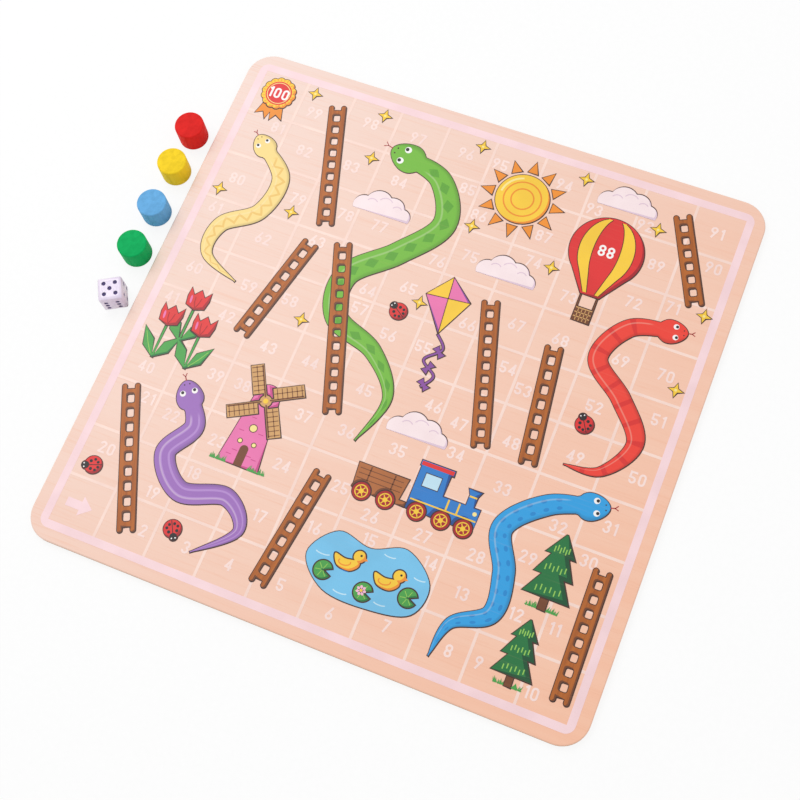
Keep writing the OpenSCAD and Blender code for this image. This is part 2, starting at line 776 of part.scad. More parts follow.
// What the lines and numbers stop at: every figure and its key line
module figures_covered() {
    offset(delta = key_gap) {
        for (k = [0:len(ladder_shares) - 1]) ladder_shape(k);
        green_shape();
        red_shape();
        blue_shape();
        yellow_shape();
        purple_shape();
        sun_shape();
        sun_rays_shape();
        balloon_shape();
        basket_shape();
        kite_shape();
        kite_tail_shape();
        tower_shape();
        sails_shape();
        at_pond([0, 0]) polygon(loop_curve(pond_shares * pond_w));
        pines_shape();
        pine_trunks_shape();
        engine_shape();
        wagon_shape();
        wheels_shape();
        tulip_heads_shape();
        tulip_leaves_shape();
        clouds_shape();
        ladybirds_shape();
        sparkles_shape();
        rosette_shape();
        ribbons_shape();
        arrow_shape();
    }
}

// Counters and die, in a row beside the panel's left edge that leans away from it by some degrees

row_lean = 0.7;
counter_y_shares = [0.293, 0.214, 0.1255, 0.0395];
die_y_share = -0.0535;
module in_row(y_share) {
    from_die = board_side * (y_share - die_y_share);
    translate([-board_side / 2 - counter_gap - counter_d / 2 - from_die * tan(row_lean), board_side * y_share, 0])
        children();
}

// Counters, turned with eased edges

counter_edge_steps = 4;
function counter_corner(r, z, from) = [for (i = [0:counter_edge_steps])
    let (a = from + i * 90 / counter_edge_steps) [r + counter_ease * cos(a), z + counter_ease * sin(a)]];
module counter(i) {
    r = counter_d / 2 - counter_ease;
    in_row(counter_y_shares[i]) rotate_extrude()
        polygon(concat([[0, 0]], counter_corner(r, counter_ease, -90),
            counter_corner(r, counter_h - counter_ease, 0), [[0, counter_h]]));
}
module red_counter() { color("red") counter(0); }
module yellow_counter() { color("gold") counter(1); }
module blue_counter() { color("cornflowerblue") counter(2); }
module green_counter() { color("green") counter(3); }

// Die: a cube with rounded edges and corners, drilled for painted spots

die_turn = 28.8;
die_corner_share = 0.775;
pip_share = 0.225;
pip_cross_shares = [[-pip_share, -pip_share], [pip_share, pip_share]];
pip_other_shares = [[-pip_share, pip_share], [pip_share, -pip_share]];
pip_side_shares = [[-pip_share, 0], [pip_share, 0]];
function pips(value) = concat(value % 2 == 1 ? [[0, 0]] : [], value > 1 ? pip_cross_shares : [],
    value > 3 ? pip_other_shares : [], value == 6 ? pip_side_shares : []);
// Turns that bring the top face's spots to each face, with the face's value
die_faces = [[[0, 0, 0], 5], [[180, 0, 0], 2], [[90, 0, 0], 6], [[-90, 0, 0], 1], [[0, 90, 0], 4],
    [[0, -90, 0], 3]];
module at_die() {
    in_row(die_y_share) translate([0, 0, die_side / 2]) rotate(die_turn) children();
}
module drilled(d, from, t) {
    for (face = die_faces, share = pips(face[1])) rotate(face[0])
        translate([share[0] * die_side, share[1] * die_side, die_side / 2 - from]) cylinder(d = d, h = t);
}
module rounded_bar() { linear_extrude(die_side, center = true) rounded_square(die_side, die_edge_r); }
module die_cube() {
    color("white") at_die() difference() {
        intersection() {
            rounded_bar();
            rotate([90, 0, 0]) rounded_bar();
            rotate([0, 90, 0]) rounded_bar();
            sphere(die_side * die_corner_share);
        }
        drilled(pip_d, pip_depth, pip_depth + overrun);
    }
}
module die_spots() { color("black") at_die() drilled(pip_d - 2 * paint_clearance, pip_depth, pip_paint_t); }

back_ply();
core_ply();
face_ply();
border_line();
grid_lines();
square_numbers();
start_arrow();
figure_numbers();
for (k = [1:len(ladder_shares)]) ladder(k - 1);
green_snake();
red_snake();
blue_snake();
yellow_snake();
purple_snake();
sun();
sun_rays();
balloon();
balloon_basket();
kite();
kite_tail();
windmill_tower();
windmill_sails();
pond();
lily_pads();
ducks();
pines();
pine_trunks();
engine();
wagon();
engine_wheels();
tulip_heads();
tulip_leaves();
clouds();
ladybirds();
sparkles();
rosette();
rosette_ribbons();
red_counter();
yellow_counter();
blue_counter();
green_counter();
die_cube();
die_spots();
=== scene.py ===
# %% [markdown]
# # A snakes and ladders board
# The real thing is a thin plywood panel with a printed face, four painted wooden counters and a die.
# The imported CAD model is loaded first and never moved: every piece below is measured from it, in
# metres, so each print lies on the film, and each counter stands where the solid one stands.

# %% Load the frame
import math

import bmesh
import bpy
from mathutils import Matrix, Vector


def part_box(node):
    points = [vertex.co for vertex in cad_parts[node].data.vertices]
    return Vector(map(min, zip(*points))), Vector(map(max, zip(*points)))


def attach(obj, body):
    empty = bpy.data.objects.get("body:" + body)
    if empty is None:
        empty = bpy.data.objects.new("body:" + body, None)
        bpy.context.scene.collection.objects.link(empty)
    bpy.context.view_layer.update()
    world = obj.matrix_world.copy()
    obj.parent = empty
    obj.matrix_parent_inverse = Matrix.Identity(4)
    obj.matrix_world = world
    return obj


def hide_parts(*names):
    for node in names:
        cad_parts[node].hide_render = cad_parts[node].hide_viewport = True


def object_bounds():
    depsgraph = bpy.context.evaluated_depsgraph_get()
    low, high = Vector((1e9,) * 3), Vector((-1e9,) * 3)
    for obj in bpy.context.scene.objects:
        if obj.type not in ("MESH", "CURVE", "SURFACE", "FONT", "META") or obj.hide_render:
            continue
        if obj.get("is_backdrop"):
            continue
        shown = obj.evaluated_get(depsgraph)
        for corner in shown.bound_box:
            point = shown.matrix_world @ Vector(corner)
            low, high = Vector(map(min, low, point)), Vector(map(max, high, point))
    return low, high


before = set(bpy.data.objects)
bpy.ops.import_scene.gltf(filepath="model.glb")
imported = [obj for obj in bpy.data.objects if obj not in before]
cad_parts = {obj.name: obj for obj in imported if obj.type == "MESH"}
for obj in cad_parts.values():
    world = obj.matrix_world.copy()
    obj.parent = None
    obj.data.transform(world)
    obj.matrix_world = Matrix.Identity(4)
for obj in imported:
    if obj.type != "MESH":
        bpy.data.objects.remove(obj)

MM = 0.001
cad_low, cad_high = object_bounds()
print("CAD box in mm:", [round(v / MM, 1) for v in cad_high - cad_low])

# %% [markdown]
# ## Measures
# The face of the panel carries ink films. Their height and the size of a square are read from the
# border and the lines between the squares, because the print has to follow the solids if those change.

# %% Measure the panel and the squares
face_low, face_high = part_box("face_ply")
border_low, border_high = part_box("border_line")
lines_low, lines_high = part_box("grid_lines")
SQUARES = 10
board_side = face_high.x - face_low.x
face_z = border_low.z
film_z = border_high.z
ink_t = film_z - face_z
grid_side = (border_high.x - border_low.x + lines_high.x - lines_low.x) / 2
square = grid_side / SQUARES


def on_board(column, row):
    """A place counted in squares from the grid's lower left corner, as a point on the panel."""
    return Vector((column * square - grid_side / 2, row * square - grid_side / 2))


print("side", round(board_side / MM, 1), "square", round(square / MM, 2), "ink", round(ink_t / MM, 3), "mm")

# %% [markdown]
# ## Camera
# The picture is taken from high up, with the panel turned and the camera tilted on its own axis as
# well. A track-to constraint can't give that roll, so the camera's three axes are worked out and put
# into its matrix. The focal length is in pixels of the 800 pixel frame, as a camera fitted to four
# corners gives it.

# %% Place the camera
FRAME_PX = 800
FOCAL_PX = 1348.5
SENSOR_MM = 36
azimuth, elevation, roll = (math.radians(angle) for angle in (34.93, 70.5, -13.64))
aim = Vector((0.017 * board_side, -0.057 * board_side, face_z))
distance = 2.309 * board_side

back = Vector((math.sin(azimuth) * math.cos(elevation), -math.cos(azimuth) * math.cos(elevation),
               math.sin(elevation)))
level = (-back).cross(Vector((0, 0, 1))).normalized()
upright = level.cross(-back)
right = level * math.cos(roll) + upright * math.sin(roll)
up = upright * math.cos(roll) - level * math.sin(roll)
eye = aim + back * distance

camera_data = bpy.data.cameras.new("camera")
camera_data.sensor_width = SENSOR_MM
camera_data.lens = FOCAL_PX * SENSOR_MM / FRAME_PX
camera = bpy.data.objects.new("camera", camera_data)
bpy.context.scene.collection.objects.link(camera)
camera.matrix_world = Matrix(((right.x, up.x, back.x, eye.x), (right.y, up.y, back.y, eye.y),
                              (right.z, up.z, back.z, eye.z), (0, 0, 0, 1)))
bpy.context.scene.camera = camera
print("lens", round(camera_data.lens, 2), "mm, eye", [round(v, 3) for v in eye])

# %% [markdown]
# ## Node graphs as expressions
# Materials and Geometry Nodes are both graphs of nodes. Placing nodes by hand in a script is hard to
# read, so one class wraps an output socket: sums on it add Math nodes. Every other node comes from one
# method, which sets the node's own settings first and then its sockets.

# %% Wires and graphs
class Wire:
    """One output socket of a graph. Arithmetic on it adds Math nodes."""

    def __init__(self, graph, socket):
        self.graph = graph
        self.socket = socket

    def math(self, operation, *values):
        return self.graph.node("ShaderNodeMath", {"operation": operation}, dict(enumerate(values)))

    def also(self, output):
        return Wire(self.graph, self.socket.node.outputs[output])

    def __add__(self, other):
        return self.math("ADD", self, other)

    def __radd__(self, other):
        return self.math("ADD", other, self)

    def __sub__(self, other):
        return self.math("SUBTRACT", self, other)

    def __rsub__(self, other):
        return self.math("SUBTRACT", other, self)

    def __mul__(self, other):
        return self.math("MULTIPLY", self, other)

    def __rmul__(self, other):
        return self.math("MULTIPLY", other, self)

    def __truediv__(self, other):
        return self.math("DIVIDE", self, other)

    def __lt__(self, other):
        return self.math("LESS_THAN", self, other)

    def __gt__(self, other):
        return self.math("GREATER_THAN", self, other)

    def __abs__(self):
        return self.math("ABSOLUTE", self)

    def __mod__(self, other):
        return self.math("FLOORED_MODULO", self, other)


class Graph:
    """A node tree that is written as expressions."""

    def __init__(self, tree):
        self.tree = tree

    def node(self, kind, settings=None, sockets=None, out=0):
        made = self.tree.nodes.new(kind)
        for name, value in (settings or {}).items():
            setattr(made, name, value)
        for key, value in (sockets or {}).items():
            if isinstance(value, Wire):
                self.tree.links.new(value.socket, made.inputs[key])
            else:
                made.inputs[key].default_value = value
        return Wire(self, made.outputs[out])

    def split(self, vector):
        x = self.node("ShaderNodeSeparateXYZ", None, {0: vector})
        return x, x.also("Y"), x.also("Z")

    def vector(self, x=0.0, y=0.0, z=0.0):
        return self.node("ShaderNodeCombineXYZ", None, {0: x, 1: y, 2: z})


print("graph classes ready")

# %% [markdown]
# ## Finishes
# A finish is a material whose pattern is worked out from the place on the object, so no picture file is
# needed. All of them share one shader. Patterns are mixed into its colour, its roughness and a small
# bump.

# %% The finish class
def linear(red, green, blue):
    """A colour given as eight-bit screen values, in the linear form that shaders use."""
    shares = [value / 255 for value in (red, green, blue)]
    return tuple(v / 12.92 if v <= 0.04045 else ((v + 0.055) / 1.055) ** 2.4 for v in shares) + (1.0,)


def toned(colour, factor):
    """A darker or brighter version of a linear colour."""
    return tuple(min(v * factor, 1.0) for v in colour[:3]) + (1.0,)


class Finish(Graph):
    """A material with one shader, painted by patterns."""

    def __init__(self, name):
        self.material = bpy.data.materials.new(name)
        self.material.use_nodes = True
        super().__init__(self.material.node_tree)
        self.shader = self.tree.nodes["Principled BSDF"]

    def place(self, centre=(0, 0, 0), turn=0.0, scale=(1, 1, 1)):
        """Object coordinates about a centre, turned about Z and stretched."""
        spot = self.node("ShaderNodeTexCoord", out="Object")
        away = self.node("ShaderNodeMapping", None, {"Vector": spot, "Location": tuple(-c for c in centre)})
        turned = self.node("ShaderNodeMapping", None, {"Vector": away, "Rotation": (0, 0, turn)})
        return self.node("ShaderNodeMapping", None, {"Vector": turned, "Scale": scale})

    def noise(self, vector, detail=3.0):
        return self.node("ShaderNodeTexNoise", None,
                         {"Vector": vector, "Scale": 1.0, "Detail": detail}, "Fac")

    def grain(self, along, across, turn=0.0):
        """Noise drawn out along a fibre, with its waves per metre along and across it."""
        return self.noise(self.place((0, 0, 0), turn, (along, across, across)))

    def step(self, value, low, high):
        """0 below low and 1 above high, with a smooth passage between."""
        return self.node("ShaderNodeMapRange", {"interpolation_type": "SMOOTHSTEP"},
                         {"Value": value, "From Min": low, "From Max": high})

    def mix(self, factor, first, second):
        return self.node("ShaderNodeMix", {"data_type": "RGBA"}, {0: factor, 6: first, 7: second}, 2)

    def paint(self, colour, roughness, height=None, depth=0.0, constants=None):
        """Joins the patterns to the shader. Depth is the bump's height in metres."""
        links = {"Base Color": colour, "Roughness": roughness}
        if height is not None:
            links["Normal"] = self.node("ShaderNodeBump", None,
                                        {"Strength": 1.0, "Distance": depth, "Height": height})
        for socket, value in links.items():
            self.tree.links.new(value.socket, self.shader.inputs[socket])
        for name, value in (constants or {}).items():
            self.shader.inputs[name].default_value = value
        return self.material


def dress(material, *nodes):
    """Puts a finish on CAD nodes, which keep their shape."""
    for node in nodes:
        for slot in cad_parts[node].material_slots:
            slot.material = material


print("finish class ready")

# %% [markdown]
# ## Plywood
# The panel is three veneers. The face is stained peach and lacquered, so its grain is faint: long soft
# figure, fine fibres and short pores. The core lies crosswise and shows end grain at the panel's edge,
# with a dark glue line on both sides. The back is the bare wood.

# %% Finishes of the three veneers
SATIN = {"Specular IOR Level": 0.3, "Coat Weight": 0.32, "Coat Roughness": 0.35}
PEACH = linear(253, 195, 164)
PEACH_DARK = linear(243, 180, 148)
PEACH_PALE = linear(254, 201, 172)
# Painted light: this is the paler colour the face takes towards the far left, a painted sheen of the lamp's
# light on the lacquer.
PAINTED_SHEEN = linear(242, 217, 207)
SHEEN_FAR = 0.56
FIBRE_WAVES = (22, 1100)
CORE = linear(205, 162, 118)
GLUE = linear(104, 66, 42)
BACK = linear(229, 196, 152)
BACK_DARK = linear(196, 152, 104)


def veneer(name, pale, plain, dark, sheen_colour):
    """A sliced veneer with its fibres along X. A painted sheen lightens its colour from the near right to
    the far left.
    """
    finish = Finish(name)
    figure = finish.grain(5, 90)
    fibre = finish.grain(*FIBRE_WAVES)
    pore = finish.step(finish.grain(60, 1900), 0.62, 0.74)
    x, y, _ = finish.split(finish.place())
    # Painted light: this share of the painted sheen grows from the near right to the far left.
    fade = 0.5 + (y * SHEEN_FAR - x) / (board_side * (1 + SHEEN_FAR))
    stain = finish.mix(finish.step(figure, 0.36, 0.64), pale, plain)
    tone = finish.mix(fade, stain, sheen_colour)
    fibres = finish.mix(finish.step(fibre, 0.5, 0.8) * 0.3, tone, dark)
    colour = finish.mix(pore * 0.3, fibres, dark)
    return finish.paint(colour, 0.4 + fibre * 0.2, fibre - pore, 0.015 * MM, SATIN)


def core_veneer():
    """End grain with short dark vessels and a glue line along both faces."""
    finish = Finish("core_veneer")
    low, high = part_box("core_ply")
    vessel = finish.noise(finish.place(scale=(700, 700, 260)), 4.0)
    ring = finish.noise(finish.place(scale=(90, 90, 20)))
    wood = finish.mix(finish.step(ring, 0.35, 0.65), CORE, toned(CORE, 0.78))
    dots = finish.mix(finish.step(vessel, 0.55, 0.72) * 0.7, wood, toned(CORE, 0.45))
    height = finish.split(finish.place())[2]
    middle = (low.z + high.z) / 2
    glue = finish.step(abs(height - middle), (high.z - middle) * 0.84, (high.z - middle) * 0.96)
    return finish.paint(finish.mix(glue, dots, GLUE), 0.6 + vessel * 0.2, vessel, 0.08 * MM)


dress(veneer("peach_veneer", PEACH_PALE, PEACH, PEACH_DARK, PAINTED_SHEEN), "face_ply")
dress(core_veneer(), "core_ply")
dress(veneer("bare_veneer", toned(BACK, 1.08), BACK, BACK_DARK, BACK), "back_ply")
print("three veneers dressed")

# %% [markdown]
# ## Inks
# The print is a thin layer of colour on open wood: a little uneven, and thinner over the pores, where
# the peach shows through. One function makes every ink, so that all of them lie on the same grain. The
# table lists the inks' screen colours under the record's slot that each belongs to.

# %% The ink finish
SHOWS_THROUGH = 0.07
INK_BUMP = 0.01 * MM


def printed(finish, colour, fibre):
    """Lets a little wood show through a colour along the fibres, and gives it a satin face."""
    worn = finish.mix(finish.step(fibre, 0.55, 0.85) * SHOWS_THROUGH, colour, PEACH)
    return finish.paint(worn, 0.4 + fibre * 0.2, fibre, INK_BUMP, SATIN)


def ink(name, colour):
    """A printed colour on the veneer, with a little wood showing where the layer is weakest."""
    finish = Finish(name)
    fibre = finish.grain(*FIBRE_WAVES)
    cloud = finish.noise(finish.place(scale=(55, 55, 55)), 2.0)
    speck = finish.noise(finish.place(scale=(1500, 1500, 1500)), 1.0)
    tone = finish.mix(finish.step(cloud, 0.3, 0.7), toned(colour, 0.96), toned(colour, 1.04))
    dotted = finish.mix(finish.step(speck, 0.5, 0.8) * 0.12, tone, toned(colour, 0.7))
    return printed(finish, dotted, fibre)


INK_COLOURS = {
    "ink_white": {"chalk": (255, 250, 248), "white": (254, 232, 234), "rose_white": (253, 219, 223),
                  "line_white": (254, 222, 210), "number_white": (254, 225, 218), "lilac": (228, 202, 218)},
    "ink_brown": {"tan": (214, 164, 104), "brown": (178, 106, 56), "dark_brown": (118, 66, 36),
                  "key": (66, 40, 34), "black": (38, 32, 36)},
    "ink_green": {"green": (74, 164, 74), "light_green": (150, 205, 92)},
    "ink_dark_green": {"dark_green": (30, 118, 62), "deep_green": (16, 82, 48)},
    "ink_red": {"red": (226, 48, 48), "dark_red": (170, 28, 38)},
    "ink_blue": {"blue": (44, 126, 204), "navy": (26, 78, 150), "light_blue": (120, 196, 236),
                 "pale_blue": (196, 230, 246)},
    "ink_yellow": {"yellow": (252, 206, 60), "pale_yellow": (255, 234, 150)},
    "ink_orange": {"orange": (242, 146, 44)},
    "ink_purple": {"purple": (140, 78, 160)},
    "ink_pink": {"pink": (238, 120, 178), "rose": (206, 74, 140), "pale_pink": (250, 190, 214)},
}
INKS = {name: ink("ink_" + name, linear(*colour))
        for names in INK_COLOURS.values() for name, colour in names.items()}
INK_SLOTS = {name: slot for slot, names in INK_COLOURS.items() for name in names}

FILM_INKS = {
    "rose_white": ["border_line", "start_arrow"], "line_white": ["grid_lines"],
    "number_white": ["square_numbers"], "chalk": ["figure_numbers"], "white": ["clouds"],
    "green": ["lily_pads", "tulip_leaves"], "dark_green": ["pines"],
    "red": ["balloon", "tulip_heads", "ladybirds"], "dark_red": ["engine_wheels"],
    "blue": ["engine"], "light_blue": ["pond"], "yellow": ["sun", "ducks", "sparkles", "rosette"],
    "orange": ["sun_rays", "rosette_ribbons"], "purple": ["kite_tail"], "pink": ["kite", "windmill_tower"],
    "tan": ["windmill_sails"], "dark_brown": ["pine_trunks", "balloon_basket"], "brown": ["wagon"],
}
for name, nodes in FILM_INKS.items():
    dress(INKS[name], *nodes)
print(len(INKS), "inks on", sum(len(nodes) for nodes in FILM_INKS.values()), "films")

# %% [markdown]
# ## Flat films of the scene's own
# Details inside a figure are printed over its first film. Each is a thin closed plate, made from an
# outline, or a ribbon, made from rows of points across a path. They are drawn with mesh code, because
# the outlines are few and each differs, and all of one colour in a figure are one piece.

# %% Plates, ribbons and pieces
DETAIL_T = 0.04 * MM


def keep(name, mesh, body="board", smooth=False):
    """Makes a mesh a piece that rides on a body."""
    mesh.polygons.foreach_set("use_smooth", [smooth] * len(mesh.polygons))
    piece = bpy.data.objects.new(name, mesh)
    bpy.context.scene.collection.objects.link(piece)
    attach(piece, body)
    return piece


def mesh_from(name, bm, material):
    """Turns a bmesh into a mesh with one material."""
    mesh = bpy.data.meshes.new(name)
    bm.to_mesh(mesh)
    bm.free()
    mesh.materials.append(material)
    return mesh


def lay_plate(bm, outline, low, high):
    """A closed flat plate with the given outline."""
    area = sum(a[0] * b[1] - b[0] * a[1] for a, b in zip(outline, outline[1:] + outline[:1]))
    points = outline if area > 0 else outline[::-1]
    top = [bm.verts.new((p[0], p[1], high)) for p in points]
    foot = [bm.verts.new((p[0], p[1], low)) for p in points]
    bm.faces.new(top)
    bm.faces.new(foot[::-1])
    for i in range(len(points)):
        bm.faces.new((foot[i - 1], foot[i], top[i], top[i - 1]))


def lay_ribbon(bm, rows, low, high, closed=False):
    """A closed flat band through rows of points, each row from the path's right to its left."""
    top = [[bm.verts.new((p[0], p[1], high)) for p in row] for row in rows]
    foot = [[bm.verts.new((p[0], p[1], low)) for p in row] for row in rows]
    count = len(rows)
    for i in range(count if closed else count - 1):
        j = (i + 1) % count
        for k in range(len(rows[0]) - 1):
            bm.faces.new((top[i][k], top[j][k], top[j][k + 1], top[i][k + 1]))
            bm.faces.new((foot[i][k + 1], foot[j][k + 1], foot[j][k], foot[i][k]))
        bm.faces.new((foot[i][0], foot[j][0], top[j][0], top[i][0]))
        bm.faces.new((top[i][-1], top[j][-1], foot[j][-1], foot[i][-1]))
    if not closed:
        for row, (a, b) in ((0, (top, foot)), (-1, (foot, top))):
            for k in range(len(rows[0]) - 1):
                bm.faces.new((a[row][k], a[row][k + 1], b[row][k + 1], b[row][k]))


def heading(angle):
    """The direction at an angle from +X, in radians."""
    return Vector((math.cos(angle), math.sin(angle)))


def left_of(way):
    """A direction turned a quarter to the left."""
    return Vector((-way.y, way.x))


def rows_along(points, width, closed=False):
    """Rows of two points across a path, for a line of one width."""
    count = len(points)
    rows = []
    for i, point in enumerate(points):
        ahead = points[(i + 1) % count] if closed else points[min(i + 1, count - 1)]
        behind = points[i - 1] if closed else points[max(i - 1, 0)]
        side = left_of((Vector(ahead) - Vector(behind)).normalized()) * width / 2
        rows.append((Vector(point) - side, Vector(point) + side))
    return rows


def arc(centre, rx, ry=None, start=0, end=360, turn=0, steps=32):
    """Points of an oval arc, in degrees. A full turn leaves its last point out."""
    ry = rx if ry is None else ry
    count = steps if end - start == 360 else steps + 1
    turning = Matrix.Rotation(math.radians(turn), 2)
    angles = [math.radians(start + (end - start) * i / steps) for i in range(count)]
    return [Vector(centre) + turning @ Vector((rx * math.cos(a), ry * math.sin(a))) for a in angles]


def details(name, colour, plates=(), lines=(), rings=(), bands=(), base=film_z, layer=0, thick=DETAIL_T):
    """One piece of printed detail: plates by outline, lines and rings by path and width, bands by rows."""
    low = base + layer * DETAIL_T
    high = low + thick
    bm = bmesh.new()
    for outline in plates:
        lay_plate(bm, list(outline), low, high)
    for path, width in lines:
        lay_ribbon(bm, rows_along(path, width), low, high)
    for path, width in rings:
        lay_ribbon(bm, rows_along(path, width, True), low, high, True)
    for rows in bands:
        lay_ribbon(bm, rows, low, high)
    return keep(name, mesh_from(name, bm, INKS[colour]))


print("detail film", round(DETAIL_T / MM, 3), "mm thick")

# %% [markdown]
# ## Geometry Nodes as tools
# What repeats or follows a path is made by Geometry Nodes. A tool is a tree with named inputs, built
# once and run on a small base mesh. Its result is kept as a plain mesh, so no modifier stays on a
# finished piece.

# %% The tool class
WELD = 0.001 * MM


class Tool(Graph):
    """A Geometry Nodes tree with named inputs that makes plain pieces."""

    def __init__(self, name, **inputs):
        super().__init__(bpy.data.node_groups.new(name, "GeometryNodeTree"))
        face = self.tree.interface
        face.new_socket("Geometry", in_out="INPUT", socket_type="NodeSocketGeometry")
        face.new_socket("Geometry", in_out="OUTPUT", socket_type="NodeSocketGeometry")
        self.keys = {}
        for label, kind in {**inputs, "Ink": "Material"}.items():
            socket = face.new_socket(label, in_out="INPUT", socket_type="NodeSocket" + kind)
            self.keys[label] = socket.identifier
        self.start = self.tree.nodes.new("NodeGroupInput")

    def input(self, label):
        return Wire(self, self.start.outputs[label])

    def attribute(self, name, kind="FLOAT"):
        return self.node("GeometryNodeInputNamedAttribute", {"data_type": kind}, {"Name": name})

    def thicken(self, sheet, low, high):
        """Raises a sheet to one height, turns it face up and makes it a closed plate up to another."""
        x, y, z = self.split(self.node("GeometryNodeInputPosition"))
        laid = self.node("GeometryNodeSetPosition", None,
                         {"Geometry": sheet, "Position": self.vector(x, y, low + z)})
        tilt = self.split(self.node("GeometryNodeInputNormal"))[2]
        upward = self.node("GeometryNodeFlipFaces", None, {"Mesh": laid, "Selection": tilt < 0.0})
        raised = self.node("GeometryNodeExtrudeMesh", {"mode": "FACES"},
                           {"Mesh": upward, "Offset": self.vector(z=high - low), "Offset Scale": 1.0,
                            "Individual": False})
        foot = self.node("GeometryNodeFlipFaces", None, {"Mesh": upward})
        both = self.node("GeometryNodeJoinGeometry")
        for part in (raised, foot):
            self.tree.links.new(part.socket, both.socket.node.inputs[0])
        return self.node("GeometryNodeMergeByDistance", None, {"Geometry": both, "Distance": WELD})

    def end(self, geometry):
        real = self.node("GeometryNodeRealizeInstances", None, {"Geometry": geometry})
        inked = self.node("GeometryNodeSetMaterial", None,
                          {"Geometry": real, "Material": self.input("Ink")})
        finish = self.tree.nodes.new("NodeGroupOutput")
        self.tree.links.new(inked.socket, finish.inputs[0])
        return self

    def run(self, name, base, slot, **values):
        """Runs the tree on a base mesh and keeps the result as a plain piece."""
        holder = bpy.data.objects.new(name + "_base", base)
        bpy.context.scene.collection.objects.link(holder)
        modifier = holder.modifiers.new("tool", "NODES")
        modifier.node_group = self.tree
        for label, value in values.items():
            modifier[self.keys[label]] = value
        graph = bpy.context.evaluated_depsgraph_get()
        mesh = bpy.data.meshes.new_from_object(holder.evaluated_get(graph), depsgraph=graph)
        bpy.data.objects.remove(holder)
        mesh.name = name
        return keep(name, mesh)

    def print_in(self, colour, name, base, **values):
        """Runs the tree in one of the inks."""
        return self.run(name, base, INK_SLOTS[colour], Ink=INKS[colour], **values)


def base_mesh(name, points, edges=(), **attributes):
    """A mesh of points and edges, with named values on its points for a tool to read."""
    mesh = bpy.data.meshes.new(name)
    mesh.from_pydata([(p[0], p[1], 0.0) for p in points], edges, [])
    for label, values in attributes.items():
        if isinstance(values[0], Vector):
            layer = mesh.attributes.new(label, "FLOAT_VECTOR", "POINT")
            layer.data.foreach_set("vector", [c for v in values for c in (v.x, v.y, 0.0)])
        else:
            layer = mesh.attributes.new(label, "FLOAT", "POINT")
            layer.data.foreach_set("value", values)
    return mesh


print("tool class ready")

# %% [markdown]
# ## Snakes
# A printed snake is a band of colour along a curve, with an egg-shaped head and a tail that runs out.
# The CAD films give its place and outline. Here each is made again as one band by a tool, because a
# skin pattern has to run along the body: the tool stores how far along and how far across each corner
# lies, as a UV map.

# %% The band tool
def band_tool():
    """Sweeps a flat profile along a path whose points carry their half width and their distance along."""
    tool = Tool("snake_band", Low="Float", High="Float")
    path = tool.node("GeometryNodeMeshToCurve", None, {"Mesh": tool.input("Geometry")})
    level_path = tool.node("GeometryNodeSetCurveNormal", {"mode": "Z_UP"}, {"Curve": path})
    line = tool.node("GeometryNodeCurvePrimitiveLine", None, {"Start": (-1, 0, 0), "End": (1, 0, 0)})
    profile = tool.node("GeometryNodeResampleCurve", None, {"Curve": line, "Count": 9})
    factor = tool.node("GeometryNodeSplineParameter", out="Factor")
    marked = tool.node("GeometryNodeStoreNamedAttribute", {"data_type": "FLOAT", "domain": "POINT"},
                       {"Geometry": profile, "Name": "across", "Value": factor})
    band = tool.node("GeometryNodeCurveToMesh", None,
                     {"Curve": level_path, "Profile Curve": marked, "Scale": tool.attribute("half")})
    spot = tool.vector(tool.attribute("along"), tool.attribute("across"))
    mapped = tool.node("GeometryNodeStoreNamedAttribute", {"data_type": "FLOAT2", "domain": "CORNER"},
                       {"Geometry": band, "Name": "skin", "Value": spot})
    return tool.end(tool.thicken(mapped, tool.input("Low"), tool.input("High")))


snake_band = band_tool()

# %% [markdown]
# The path of a snake is a smooth curve through a few points, counted in squares. The half width at each
# step is the larger of the head's egg and the body, which swells from the neck and tapers to the tail.

# %% Paths of the snakes
SNAKES = {
    "green": (15.0, [(3.45, 9.05), (4.25, 8.8), (4.65, 7.95), (4.05, 7.1), (3.3, 6.35), (3.45, 5.5),
                     (4.35, 5.1), (4.95, 4.35), (4.7, 3.4)]),
    "red": (11.5, [(9.35, 7.35), (8.6, 7.15), (8.25, 6.4), (8.9, 5.8), (9.4, 5.1), (9.0, 4.4),
                   (8.35, 4.3)]),
    "blue": (12.5, [(9.1, 3.75), (8.35, 3.5), (7.75, 2.85), (8.05, 2.1), (8.1, 1.35), (7.5, 0.95),
                    (7.35, 0.3)]),
    "yellow": (11.0, [(0.7, 8.35), (1.3, 7.8), (1.2, 7.0), (0.6, 6.5), (0.6, 5.85), (1.35, 5.5)]),
    "purple": (12.5, [(1.5, 3.12), (1.84, 2.6), (1.55, 1.95), (2.1, 1.4), (2.95, 1.6), (3.4, 1.1),
                      (2.75, 0.45)]),
}
STEPS_PER_SPAN = 16
NOSE_STEPS = 14
NOSE_TIP = 0.02 * MM
NECK, NECK_END = 0.62, 0.22
TAPER_START, TAIL_TIP = 0.5, 0.05
HEAD_L, HEAD_W, HEAD_EGG = 1.55, 1.3, 0.22


def through(points):
    """A smooth curve through points. At each it runs along the line between the point's neighbours."""
    ends = [points[0], *points, points[-1]]
    curve = []
    for a, b, c, d in zip(ends, ends[1:], ends[2:], ends[3:]):
        for step in range(STEPS_PER_SPAN):
            t = step / STEPS_PER_SPAN
            curve.append((b * 2 + (c - a) * t + (a * 2 - b * 5 + c * 4 - d) * t ** 2
                          + (b * 3 - a - c * 3 + d) * t ** 3) / 2)
    return curve + [points[-1]]


def swell(share):
    """The body's width at a share of its length, as a share of its full width."""
    neck = NECK + (1 - NECK) * math.sin(math.pi / 2 * min(share / NECK_END, 1))
    fade = math.pi / 2 * max(share - TAPER_START, 0) / (1 - TAPER_START)
    return neck * max(math.cos(fade), TAIL_TIP)


def egg(reach, width):
    """Half the head's width at a distance ahead of its middle."""
    cosine = reach / (HEAD_L * width / 2)
    if abs(cosine) >= 1:
        return 0
    return width * HEAD_W / 2 * math.sqrt(1 - cosine ** 2) * (1 - HEAD_EGG * cosine)


